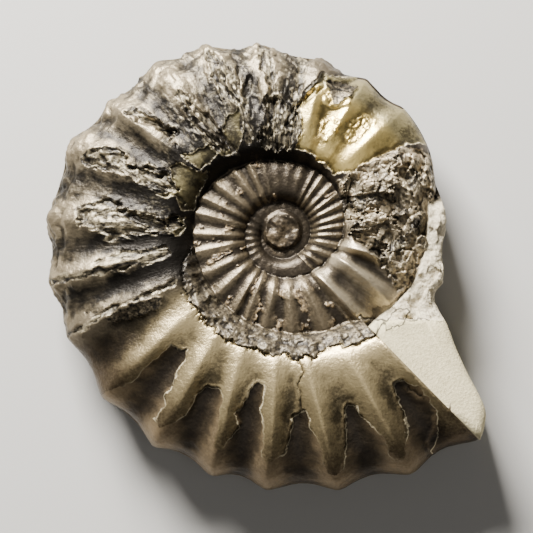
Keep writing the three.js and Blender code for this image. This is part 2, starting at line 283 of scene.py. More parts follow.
@dataclass
class Coil:
    """The coil's smooth form and ribs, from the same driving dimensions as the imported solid."""

    axis: tuple[float, float] = (2.0, 3.9)
    mouth: float = 314.6
    whorl_growth: float = 1.93
    front_crest: float = 7.8
    crest_growth: float = 1.59
    rest_depth: float = 6.7
    middle_lean: float = 0.041
    rib_height: float = 1.7
    rib_growth: float = 2.6
    core_rib_step: float = 13.0
    rib_rounding: float = 0.06
    rib_top: float = 0.245
    flank_swell: float = 0.35
    swell_span: Span = (0.3, 0.6, 0.7, 1)
    core_depth: float = 0.92
    worn_ribs: Span = (-300, -285, -262, -244)
    worn_away: float = 0.75
    deeper_ribs: Span = (-62, -45, -10, 8)
    deeper_by: float = 1.2
    shoulder: float = 0.3
    stone_edge: float = 10.0
    stone_back: float = 9.0
    sawn_height: float = 6.9
    sawn_fall: float = 0.5
    sawn_along: float = 0.1
    sawn_from: float = 22.0
    sawn_end: float = -10.8
    strip_height: float = 3.0
    ribs: list[tuple[float, float]] = field(default_factory=lambda: [
        (-405, -405), (-393, -393), (-381, -379), (-366, -370), (-357, -359), (-349, -350), (-341, -342),
        (-331, -333), (-323, -323), (-315, -315), (-305, -305), (-298, -298), (-288, -288), (-278, -278),
        (-268, -268), (-258, -258), (-248, -247), (-238, -234), (-222, -219), (-209, -206), (-198, -195),
        (-182, -182), (-172, -168), (-153, -154), (-139, -137), (-123, -120), (-114, -111), (-96, -103),
        (-80, -85), (-62, -66), (-45, -47), (-19, -33), (-8, -14), (12, 8), (30, 27), (49, 46), (64, 61),
        (76, 76), (93, 95), (105, 111), (122, 125), (140, 142), (155, 155), (173, 176), (188, 191),
        (202, 205), (220, 222), (237, 239), (251, 254), (268, 267), (282, 283), (300, 299), (315.8, 314.6),
    ])
    seam_points: Points = field(default_factory=lambda: [
        (-765, 1.5), (-600, 2.2), (-410, 3.1), (-350, 4.1), (-300, 4.6), (-160, 4.6), (-90, 5.2),
        (-34, 6.5), (0, 8.1), (45, 9.7), (90, 10), (150, 11.4), (210, 11.2), (260, 12.1), (295, 13.6),
        (315, 15.2), (326, 18.6),
    ])
    outline_points: Points = field(default_factory=lambda: [
        (-45.4, 37.1), (-43, 36.4), (-40, 34.9), (-36, 30.3), (-32, 27.1), (-27.5, 24.6), (-24, 22.6),
        (-19.5, 21.6), (-15, 22.2), (-5, 21.5), (10, 22), (19, 21.6), (30, 22.7), (46, 23.5), (61, 23.7),
        (76, 24), (95, 25.4), (111, 26.9), (125, 28.2), (142, 28.7), (155, 30.3), (176, 30.7), (191, 31),
        (205, 30.9), (222, 31.4), (239, 32), (254, 32.5), (267, 33.2), (283, 34), (299, 35.4),
        (314.6, 37.1),
    ])
    broken_edge: Points = field(default_factory=lambda: [
        (-50, 17.5), (-37, 17.9), (-20, 19.4), (0, 20.3), (12, 20.9), (19, 21.6), (30, 22.7), (46, 23.5),
    ])

    def seam(self, angle: Numbers) -> Numbers:
        """Radius of a whorl's inner seam at its unwrapped angles."""
        return along(self.seam_points, angle)

    def outline(self, angle: Numbers) -> Numbers:
        """Radius of the fossil's outline at compass angles."""
        return along(self.outline_points, angle)

    def compass(self, x: Numbers, y: Numbers) -> Numbers:
        """Compass angles of places in plan, in the turn that ends at the mouth."""
        lowest = self.mouth - TURN
        return (np.degrees(np.arctan2(y, x)) - lowest) % TURN + lowest

    def middle(self, x: Numbers, y: Numbers) -> Numbers:
        """Height of the coil's leaning middle plane above the resting plane."""
        mouth = math.radians(self.mouth)
        return self.rest_depth + self.middle_lean * (x * math.cos(mouth) + y * math.sin(mouth))

    def crest_height(self, angle: Numbers) -> Numbers:
        """Height of the whorl's crest above the middle plane at unwrapped angles."""
        return self.grown(self.front_crest, self.crest_growth, angle)

    def grown(self, at_mouth: float, growth: float, angle: Numbers) -> Numbers:
        """A measure that grows with every turn, at unwrapped angles."""
        return at_mouth * growth ** ((angle - self.mouth) / TURN)

    def full_radius(self, angle: Numbers) -> Numbers:
        """Outer radius that a whorl has, or had before the next one covered it.

        Args:
            angle: Unwrapped angles.

        Returns:
            The radii in millimetres.
        """
        result = np.zeros_like(angle)
        for turns in range(4):
            compass = angle + TURN * turns
            broken = compass < self.broken_edge[-1][0]
            here = np.where(broken, along(self.broken_edge, compass), self.outline(compass))
            low = self.mouth - TURN * (turns + 1) - 1e-6
            first = self.broken_edge[0][0] - TURN * turns
            chosen = (angle >= low if turns else angle >= first) & (result == 0)
            result = np.where(chosen, here / self.whorl_growth**turns, result)
        return np.where(result == 0, self.seam(angle) + 1, result)

    def rib_phase(self, angle: Numbers, share: Numbers) -> Numbers:
        """Way from one rib, 0, to the next, 1.

        Args:
            angle: Unwrapped angles.
            share: Shares of the whorl's width.

        Returns:
            The phase, 0 before the first rib.
        """
        inner, outer = np.array(self.ribs, float).T
        guess = np.searchsorted((inner + outer) / 2, angle, side="right") - 1
        phase = np.zeros_like(angle)
        for step in (-1, 0, 1):
            k = np.clip(guess + step, 0, len(inner) - 2)
            low = inner[k] + (outer[k] - inner[k]) * share
            high = inner[k + 1] + (outer[k + 1] - inner[k + 1]) * share
            here = (angle >= low) & (angle < high)
            phase = np.where(here, (angle - low) / (high - low), phase)
        return np.where(angle < self.ribs[0][0], (angle - self.ribs[0][0]) / self.core_rib_step % 1, phase)

    def rib_depth(self, angle: Numbers, share: Numbers, phase: Numbers) -> Numbers:
        """How far the surface lies below the rib tops.

        Args:
            angle: Unwrapped angles.
            share: Shares of the whorl's width.
            phase: Ways from one rib to the next.

        Returns:
            Depths in millimetres.
        """
        trough = np.sqrt(np.sin(np.pi * phase) ** 2 + self.rib_rounding) - self.rib_top
        later = smoothstep(angle, 0, 60)
        bulge = 1 + self.flank_swell * window(share, self.swell_span)
        fade = (0.15 + 0.85 * smoothstep(share, 0.08, 0.6)) * bulge
        early_fade = 0.35 + 0.65 * smoothstep(share, 0, 0.3)
        fade = early_fade + (fade - early_fade) * later
        worn = 1 - self.worn_away * window(angle, self.worn_ribs)
        left = smoothstep(np.cos(np.radians(angle - 175)), 0.6, 0.9)
        core = np.where(angle < self.ribs[0][0], 0.2 + 0.8 * left, 1)
        core = core * (1 + self.deeper_by * window(angle, self.deeper_ribs))
        return self.grown(self.rib_height, self.rib_growth, angle) * trough * fade * worn * core

    def showing(self, angle: Numbers, radius: Numbers) -> Numbers:
        """Finds which whorl shows at each place.

        Args:
            angle: Compass angles.
            radius: Radii.

        Returns:
            The unwrapped angles on the whorls that show.
        """
        unwrapped = angle.copy()
        for _ in range(3):
            under = (radius < self.seam(unwrapped)) & (unwrapped > self.mouth - 3 * TURN)
            unwrapped = np.where(under, unwrapped - TURN, unwrapped)
        return unwrapped

    def section(self, unwrapped: Numbers, radius: Numbers) -> dict[str, Numbers]:
        """The smooth whorl at each place.

        Args:
            unwrapped: Unwrapped angles of the whorls that show.
            radius: Radii of the places.

        Returns:
            share of the width, height above the middle plane, and how far the surface is turned to the rim.
        """
        inner = self.seam(unwrapped)
        share = np.clip((radius - inner) / (self.full_radius(unwrapped) - inner), 0, 1)
        crest = self.crest_height(unwrapped)
        below = unwrapped - TURN
        under_inner = self.seam(below)
        under_share = (inner - under_inner) / (self.full_radius(below) - under_inner)
        under = np.clip((under_share - self.shoulder) / (1 - self.shoulder), 0, 1)
        floor = self.crest_height(below) * np.sqrt(1 - under**2)
        floor = np.where(unwrapped < self.mouth - 2.9 * TURN, 0.85 * crest, floor)
        turned = np.clip((share - self.shoulder) / (1 - self.shoulder), 0, 1)
        wall = floor + (crest - floor) * (1 - (1 - share / self.shoulder) ** 3)
        height = np.where(share >= self.shoulder, crest * np.sqrt(1 - turned**2), wall)
        return {"share": share, "height": height, "turned": turned}


class Whorl(Enum):
    """Which turn of the coil shows at a place, counted inwards."""

    LAST = 0
    BEFORE = 1


@dataclass
class Relief:
    """What time and breakage did to the front: shell left or lost, broken ground, and the stone.

    A scar is its x, y, turn in degrees, half length, half breadth and height. A tear or a crack is its half
    breadth and its line.
    """

    coil: Coil
    ledge_height: float = 0.27
    ledge_lumps: float = 0.5
    ditch_depth: float = 0.22
    shell_thickness: float = 0.14
    shell_edge: float = 0.09
    crack_depth: float = 0.16
    torn_depth: float = 0.22
    torn_plates: float = 0.35
    hole_depth: float = 0.42
    hole_plates: float = 0.5
    hole_lip: float = 0.14
    brass_depth: float = 0.28
    flake_height: float = 0.12
    crinkle_height: float = 0.22
    chip_height: float = 0.22
    rim_lumps: float = 0.55
    grime_height: float = 0.2
    ground_drop: float = 0.4
    crag_height: float = 0.75
    facet_height: float = 0.45
    facet_size: float = 1.8
    shard_height: float = 0.35
    shard_size: tuple[float, float] = (2.2, 4.4)
    core_lumps: float = 0.45
    strip_facets: float = 0.3
    strip_lumps: float = 0.25
    torn_span: Span = (70, 85, 168, 186)
    chipped_span: Span = (78, 90, 125, 140)
    rim_span: Span = (60, 80, 190, 215)
    nucleus: tuple[float, float] = (0.3, 0.9)
    nucleus_radius: float = 2.6
    ledge: Points = field(default_factory=lambda: [
        (185, 0), (205, 2.6), (230, 3.1), (262, 2.8), (280, 3), (300, 1.7), (314.6, 1.9),
    ])
    scars: list[tuple[float, float, float, float, float, float]] = field(default_factory=lambda: [
        (-18.2, 16, -20, 2.4, 0.7, -0.5), (-15, 14.2, -20, 1.7, 0.6, -0.55),
        (-23, 10.9, -8, 2.7, 0.7, -0.5), (-17.4, 2, -14, 3.2, 0.8, -0.55),
        (4.2, 19.4, 45, 2.6, 0.55, -0.55), (8.1, 19.4, 30, 2.2, 1.7, 0.35),
        (-9.5, 15.1, -46, 5, 0.5, -0.4), (-4.5, 21, 80, 2.2, 0.6, -0.4), (17.5, 9, 30, 1.6, 1.2, -0.7),
        (14, -1.5, 80, 2.4, 1.1, -0.6), (17.6, -3.5, 70, 1.8, 1, 0.5), (11.5, 6.5, 20, 1.8, 0.9, 0.45),
    ])
    broken_ground: Points = field(default_factory=lambda: [
        (7.4, 7.2), (9.1, 8.5), (12.3, 10), (14.3, 10.9), (16, 11.7), (19.8, 11.1), (20.5, 6.6),
        (20.9, 3.2), (20.2, 0.5), (19.1, -2), (18.1, -4), (17.8, -6), (16.1, -8.6), (14.2, -10.8),
        (15.5, -7.7), (14.2, -4.9), (13.4, -3.2), (12.5, -2.6), (9.1, 0), (8.5, 2.9),
    ])
    tears: list[tuple[float, Points]] = field(default_factory=lambda: [
        (0.45, [(-24, -3.2), (-20.2, -2.5), (-15, -1.7)]),
        (0.5, [(-30.3, -6), (-24, -4.6), (-14.6, -2.2)]),
        (0.35, [(-27.9, -12.9), (-21, -9), (-13.8, -6)]),
        (0.5, [(-13.1, 18.7), (-11, 17), (-9.2, 14.8), (-7.5, 12.9), (-6, 11.3)]),
        (0.7, [(-8.1, 23.4), (-6.4, 20.5), (-5, 17), (-4.2, 13)]),
        (0.8, [(-2.3, 24.5), (-1, 20), (-1.2, 14)]),
        (0.6, [(3, 23.5), (2.4, 19), (1.6, 14.5)]),
    ])
    holes: list[Points] = field(default_factory=lambda: [
        [(-25.7, 10.5), (-24.3, 11.7), (-21.7, 11.7), (-19.6, 9.5), (-15.1, 8.6), (-13.3, 6.2),
         (-14.7, 5.7), (-17.3, 6.9), (-19.6, 7.7), (-21.7, 8.6), (-23.9, 8.6), (-25.5, 9.5)],
        [(-26.9, 3.4), (-25.1, 4.3), (-22.5, 5.3), (-20.3, 3.4), (-17.3, 3.4), (-15.1, 2.2),
         (-13.5, 2.7), (-12.7, 1.7), (-14.2, 0.5), (-17.3, 0.8), (-19.6, -0.1), (-22.5, -0.4),
         (-24.3, 1), (-26.3, 1.7)],
        [(-20.3, 16.4), (-18.5, 16.9), (-16.5, 15.7), (-16.1, 15), (-13.9, 14), (-14.4, 13.1),
         (-16.5, 14.7), (-18.2, 15.5), (-19.6, 15.7)],
        [(-11.6, 15.5), (-9.9, 14.3), (-8.1, 12.6), (-6.9, 11.4), (-8.1, 11.2), (-9.9, 12.9),
         (-11.3, 14), (-12.7, 17.3), (-11.6, 17.8)],
        [(-1.8, 17.8), (-0.5, 18.9), (1.3, 17.3), (2.6, 16.2), (2.6, 14.6), (2.2, 12.6), (1.3, 11.3),
         (-0.7, 11.3), (-2.3, 11.6), (-2.9, 12.6), (-1.6, 14.6)],
        [(-10, 24.3), (-8.7, 24.1), (-7.5, 21.7), (-7, 19.4), (-5.2, 17.8), (-5.5, 16.8), (-7.3, 18.3),
         (-8.6, 20.4), (-9.6, 22.5)],
    ])
    golds: list[Points] = field(default_factory=lambda: [
        [(2.6, 17.3), (3.6, 19), (5.7, 21.4), (6.2, 20.9), (7, 21.2), (8.5, 20.9), (10.1, 21.4),
         (11.8, 21.6), (14.2, 19.4), (16.9, 17.8), (19, 15.2), (20.4, 12.4), (16.6, 12.2),
         (15.1, 11.3), (12.7, 10.4), (9.4, 8.5), (7.2, 8.2), (4.3, 10.7), (2.2, 11.7), (2.6, 14.6)],
        [(-14.2, 9.1), (-12.7, 9.5), (-11.6, 8.6), (-9.2, 8.3), (-10.4, 6), (-11.3, 3.4), (-12.7, 3.6),
         (-13.5, 5.3), (-15.1, 5.3), (-16.1, 5.3), (-13.3, 6.2), (-13.9, 7.7)],
        [(-7.3, 15.2), (-5.2, 16.9), (-4.7, 14.2), (-5.2, 11.7), (-6.6, 10.5), (-8.1, 10.9),
         (-9.2, 9.5), (-10.4, 9.1), (-11.6, 9.5), (-12.7, 10.5), (-10.9, 11.2), (-9.2, 12.1),
         (-7.3, 11.7)],
        [(-14.6, 2.5), (-12.7, 2.6), (-12.2, 1.4), (-13, 0.1), (-14.6, 0.7)],
    ])
    flakes: list[Points] = field(default_factory=lambda: [
        [(5.9, 20.7), (7.4, 20.4), (10.3, 19.8), (9.2, 18.3), (7.8, 17.3), (6.8, 17.4), (6.5, 19)],
    ])
    crinkles: list[Points] = field(default_factory=lambda: [
        [(9.1, 14.7), (10.7, 16.2), (12.2, 16.5), (13, 15.7), (11.7, 14.2), (10.1, 12.6), (9.1, 12.1),
         (8.5, 12.9)],
        [(5.5, 15.5), (7, 16), (8.1, 15), (7.3, 13.4), (6, 12.3), (4.9, 13.1)],
    ])
    cracks: list[tuple[float, Points]] = field(default_factory=lambda: [
        (0, [(2.5, -14.7), (2.3, -16.2), (2.9, -17.6), (2.5, -19.2), (2.7, -20.9), (2.7, -22.5)]),
        (0, [(-13.5, 12.1), (-12.1, 10), (-10.9, 8.7), (-9.9, 9.5)]),
        (0, [(15.3, -10.5), (17.2, -10.9), (18.9, -10.7), (20.3, -11.1), (21.7, -10.9)]),
        (0, [(-26, -9.9), (-24.4, -10), (-22.8, -9.6)]),
        (0.25, [(5.7, 21.3), (4.7, 20.2), (3.5, 19.1), (2.9, 18.1)]),
        (0.1, [(2.9, 18.1), (2.3, 16.8)]),
        (0, [(15.9, -18.6), (17.4, -20.2), (18.7, -20.9)]),
        (0.25, [(-11.6, 15.5), (-9.9, 14.3), (-8.1, 12.6), (-7, 11.4)]),
        (0.15, [(-19.8, 16.6), (-18.2, 16.9), (-16.5, 15.7)]),
        (0.2, [(-16.1, 15), (-14, 13.8)]),
        (0.1, [(-25.6, 10.7), (-24.3, 11.6), (-21.8, 11.6)]),
        (0.15, [(-19.5, 9.2), (-16.9, 9), (-14.8, 8.5)]),
        (0.15, [(-17.3, 7), (-14.8, 6.1)]),
        (0.1, [(-26.9, 3.5), (-25.1, 4.3), (-23.4, 4.8)]),
        (0.3, [(-20.2, 3), (-17.6, 2), (-15.6, 1.4)]),
        (0.1, [(-13.5, 5.3), (-12.3, 4.2)]),
        (0.25, [(-1.6, 18.3), (-2.3, 16.8), (-1.3, 15.5)]),
        (0.25, [(0.7, 17.8), (1.6, 16.2), (1, 14.4)]),
        (0.3, [(-2.3, 12.6), (0, 11.6)]),
        (0.05, [(-5.7, 22.8), (-5.2, 20.4), (-5.7, 18.5)]),
        (0.1, [(-7.5, 21.7), (-7, 19.4), (-5.2, 17.7)]),
    ])
    dark_zone: Points = field(default_factory=lambda: [
        (-25, -21.4), (-23.4, -20.5), (-21.1, -19.6), (-19.1, -18.9), (-16.8, -16.4), (-15.1, -14.8),
        (-14, -14), (-13.3, -14.6), (-12, -14.6), (-12.2, -15.5), (-13.3, -17.4), (-13.8, -19),
        (-14.8, -20.5), (-15.1, -22.1), (-16.4, -23.5), (-15.6, -24.7), (-14, -24.2), (-12.1, -23.1),
        (-10.8, -20.5), (-9.5, -19.5), (-7.9, -19.6), (-7.5, -20.5), (-7.8, -23.4), (-8.2, -25.6),
        (-8.6, -27.2), (-7.5, -27.6), (-6.6, -26.3), (-5.3, -24.7), (-5.7, -23.1), (-4.4, -21.2),
        (-3.8, -19.6), (-2.9, -18.9), (-2, -19.2), (-2.2, -20.8), (-2.5, -22.5), (-2.1, -24.7),
        (-2.2, -26.5), (-2.3, -28.5), (-1.6, -29.4), (-0.7, -29.1), (1, -27.6), (1.4, -26),
        (1.6, -23.8), (2.9, -22.4), (3.8, -22.8), (3.9, -24.7), (5.3, -26.9), (5.6, -29.1), (6, -30.6),
        (7.2, -31.1), (8.2, -30), (8.6, -28.3), (8.6, -21.8), (10.1, -22.1), (10.4, -23.1),
        (12.1, -24.7), (13.7, -26.3), (14, -28.3), (15.2, -29.2), (16.1, -28.5), (16.4, -26.7),
        (16.6, -24.7), (16, -22.5), (14.6, -19), (15.6, -18.6), (17.8, -19.2), (19.4, -21.2),
        (20.5, -23.1), (20.3, -26), (19.8, -27.9), (22.1, -31.6), (18.2, -36.8), (2.6, -38.1),
        (-10.4, -35.5), (-20.8, -29),
    ])
    rough_flake: Points = field(default_factory=lambda: [
        (-22.8, -10.5), (-21.1, -9.2), (-18.2, -8.1), (-15.6, -7.7), (-15.1, -8.5), (-15.9, -9.4),
        (-18.9, -10.7), (-21.8, -11.2),
    ])
    crust: Points = field(default_factory=lambda: [
        (7.5, -13.4), (8.5, -12.1), (9.4, -11.6), (10.4, -10.4), (12, -10.9), (14, -10.9),
        (15.3, -9.6), (16.8, -9.6), (15.9, -11.1), (14.6, -11.7), (13, -12.2), (11.4, -13),
        (9.9, -13.8), (8.5, -14.2),
    ])

    def stone_height(self, angle: Numbers, radius: Numbers, rough: Roughness) -> Numbers:
        """Height of the stone outside the last rib: a sawn face, and broken stone above it.

        Args:
            angle: Compass angles.
            radius: Radii.
            rough: Noise for the broken stone.

        Returns:
            Heights above the middle plane.
        """
        coil = self.coil
        aside = np.radians(angle - coil.mouth)
        x, y = plan(radius, angle)
        fall = coil.sawn_fall * radius * np.sin(aside)
        sawn = coil.sawn_height - fall - coil.sawn_along * (radius * np.cos(aside) - coil.sawn_from)
        facets, _ = rough.rubble(x / 1.5, y / 1.5)
        lumps = rough.layered(x / 1.3, y / 1.3, 3)
        strip = coil.strip_height + self.strip_facets * facets + self.strip_lumps * lumps
        edge = coil.sawn_end + 0.35 * rough.layered(x / 2.2, y / 2.2, 2)
        return sawn + (strip - sawn) * smoothstep(y, edge - 0.12, edge + 0.12)

    def ledge_reach(self, place: dict[str, Numbers], masks: dict[str, Numbers]) -> Numbers:
        """Distance to the edge of the crust left along the umbilical wall, positive on the crust.

        Args:
            place: The surface's coordinates from AmmoniteBody.locate.
            masks: Named fields from masks.

        Returns:
            The distances in millimetres, -FAR where there is none.
        """
        x, y = place["x"], place["y"]
        width = along(self.ledge, place["angle"])
        reach = width + 0.55 * Roughness(5).layered(x / 1.3, y / 1.3, 4, 0.6)
        from_seam = place["radius"] - self.coil.seam(place["unwrapped"])
        has_ledge = (width > 0.2) & (place["whorl"] == Whorl.LAST.value) & (place["front"] > 0)
        return np.maximum(np.where(has_ledge, reach - from_seam, -FAR), masks["crust"])

    def masks(self, place: dict[str, Numbers]) -> dict[str, Numbers]:
        """Where each kind of surface shows.

        Args:
            place: The surface's coordinates from AmmoniteBody.locate.

        Returns:
            Named fields: 0 to 1, or signed distances in millimetres.
        """
        x, y, angle, share = place["x"], place["y"], place["angle"], place["share"]
        rough = Roughness(11)
        wobble_x = x + 0.3 * rough.layered(x / 1.1, y / 1.1, 3)
        wobble_y = y + 0.3 * rough.layered(x / 1.1 + 31, y / 1.1, 3)
        last = place["whorl"] == Whorl.LAST.value
        front = place["front"] > 0
        seen = last & front

        def largest(outlines: list[Points]) -> Numbers:
            """Signed distance to the nearest of some outlines, where the last whorl shows."""
            deepest = np.maximum.reduce([inside(outline, wobble_x, wobble_y) for outline in outlines])
            return np.where(seen, deepest, -FAR)

        crest = np.abs(np.cos(np.pi * place["phase"]))
        torn = [breadth - near_line(line, wobble_x, wobble_y) for breadth, line in self.tears]
        tear = np.maximum.reduce(torn) + 0.5 * rough.layered(x / 2.4 + 3, y / 2.4, 3)
        ragged = rough.layered(place["around"], place["outward"] / 3.2, 4, 0.6)
        plates, edge = rough.terraces(place["around"] / 2.6, place["outward"] / 7, 4)
        broken = seen * window(angle, self.torn_span)
        chipped = broken * smoothstep(share, 0.1, 0.2) * (0.35 + 0.65 * window(angle, self.chipped_span))
        cracked = [near_line(line, wobble_x, wobble_y) - breadth for breadth, line in self.cracks]
        lower = smoothstep(np.cos(np.radians(angle - 245)), 0, 0.7)
        grime = smoothstep(rough.layered(x / 2.1, y / 2.1, 4), 0.5 - 0.3 * lower, 0.68 - 0.3 * lower)
        before = (place["whorl"] == Whorl.BEFORE.value) & front
        return {
            "patch": largest([self.dark_zone]), "ground": largest([self.broken_ground]),
            "tear": np.where(seen, tear, -FAR), "hole": largest(self.holes) + 0.45 * ragged,
            "gold": largest(self.golds), "flake": largest(self.flakes + [self.rough_flake]),
            "crust": largest([self.crust]), "crinkle": largest(self.crinkles), "crest": crest,
            "plates": plates, "edge": edge, "chipped": chipped,
            "crack": np.where(front, np.minimum.reduce(cracked), FAR),
            "grime": before * grime * (1 - crest),
        }

    def shell_lift(self, place: dict[str, Numbers], masks: dict[str, Numbers], rough: Roughness) -> Numbers:
        """How far the shell's losses, crusts and plates lift the surface.

        Args:
            place: The surface's coordinates from AmmoniteBody.locate.
            masks: Named fields from masks.
            rough: Noise for the lumps.

        Returns:
            The lift in millimetres.
        """
        around, outward, crest = place["around"], place["outward"], masks["crest"]
        grains, plates = place["grains"], masks["plates"]
        reach = self.ledge_reach(place, masks)
        crust = rough.layered(around / 2.8, outward / 1.5, 4)
        lift = smoothstep(reach, -0.04, 0.08) * (self.ledge_height + self.ledge_lumps * crust)
        lift -= self.ditch_depth * ridge(reach, -0.14, 0.12)
        lift -= self.shell_thickness * smoothstep(masks["patch"], -0.06, 0.08) * (1 - 0.85 * crest**2)
        lift += self.shell_edge * ridge(masks["patch"], -0.12, 0.13) * (1 - crest)
        lift -= self.crack_depth * (1 - smoothstep(masks["crack"], 0.04, 0.16))
        torn = smoothstep(masks["tear"], -0.1, 0.3)
        lift += torn * (self.torn_plates * plates - self.torn_depth + 0.05 * grains)
        hole = smoothstep(masks["hole"], -0.05, 0.18)
        lift += hole * (self.hole_plates * plates - self.hole_depth + 0.05 * grains)
        lift += self.hole_lip * ridge(masks["hole"], -0.2, 0.22) * smoothstep(grains, -0.4, 0.1)
        brass = smoothstep(masks["gold"], -0.05, 0.12)
        coat = smoothstep(masks["flake"], -0.06, 0.06)
        lift -= self.brass_depth * brass * (1 - coat)
        lift += coat * (self.flake_height + 0.1 * grains) * (1 - brass)
        lift += smoothstep(masks["crinkle"], -0.15, 0.15) * (0.04 + self.crinkle_height * np.abs(grains))
        lift += self.chip_height * masks["chipped"] * (1 - brass) * plates
        return lift + self.grime_height * masks["grime"] * (1 + grains)

    def ground_lift(self, x: Numbers, y: Numbers, grains: Numbers, rough: Roughness) -> Numbers:
        """How far crags, facets and shards lift the broken ground.

        Args:
            x: Places in plan, following the surface.
            y: Places in plan, following the surface.
            grains: Fine noise.
            rough: Noise for the rubble.

        Returns:
            The lift in millimetres.
        """
        crags, _ = rough.rubble(x / 3.2 + 0.3 * grains, y / 3.2)
        facets, _ = self.facets(x, y, rough)
        shards, _ = self.shards(x, y, rough)
        broken = self.crag_height * crags + self.facet_height * facets + self.shard_height * shards
        return broken + 0.05 * grains - self.ground_drop

    def facets(self, x: Numbers, y: Numbers, rough: Roughness) -> tuple[Numbers, Numbers]:
        """Height and random number of the broken ground's facets."""
        return rough.rubble(x / self.facet_size, y / self.facet_size)

    def shards(self, x: Numbers, y: Numbers, rough: Roughness) -> tuple[Numbers, Numbers]:
        """Height and edges of the broken ground's slanting shards."""
        across, length = self.shard_size
        return rough.terraces((x + y) / across, (y - x) / length, 4)

    def scar_lift(self, x: Numbers, y: Numbers, rough: Roughness) -> Numbers:
        """How far the single scars and bumps lift the surface.

        Args:
            x: Places in plan, following the surface.
            y: Places in plan, following the surface.
            rough: Noise that makes their edges ragged.

        Returns:
            The lift in millimetres.
        """
        warp_x = x + 0.25 * rough.smooth(x / 0.9, y / 0.9)
        warp_y = y + 0.25 * rough.smooth(x / 0.9 + 50, y / 0.9)
        lift = np.zeros_like(x)
        for cx, cy, turn, length, breadth, depth in self.scars:
            c, s = math.cos(math.radians(turn)), math.sin(math.radians(turn))
            u = ((warp_x - cx) * c + (warp_y - cy) * s) / length
            v = ((warp_y - cy) * c - (warp_x - cx) * s) / breadth
            lift += depth * (1 - smoothstep(np.hypot(u, v), 0.85, 1.1))
        return lift


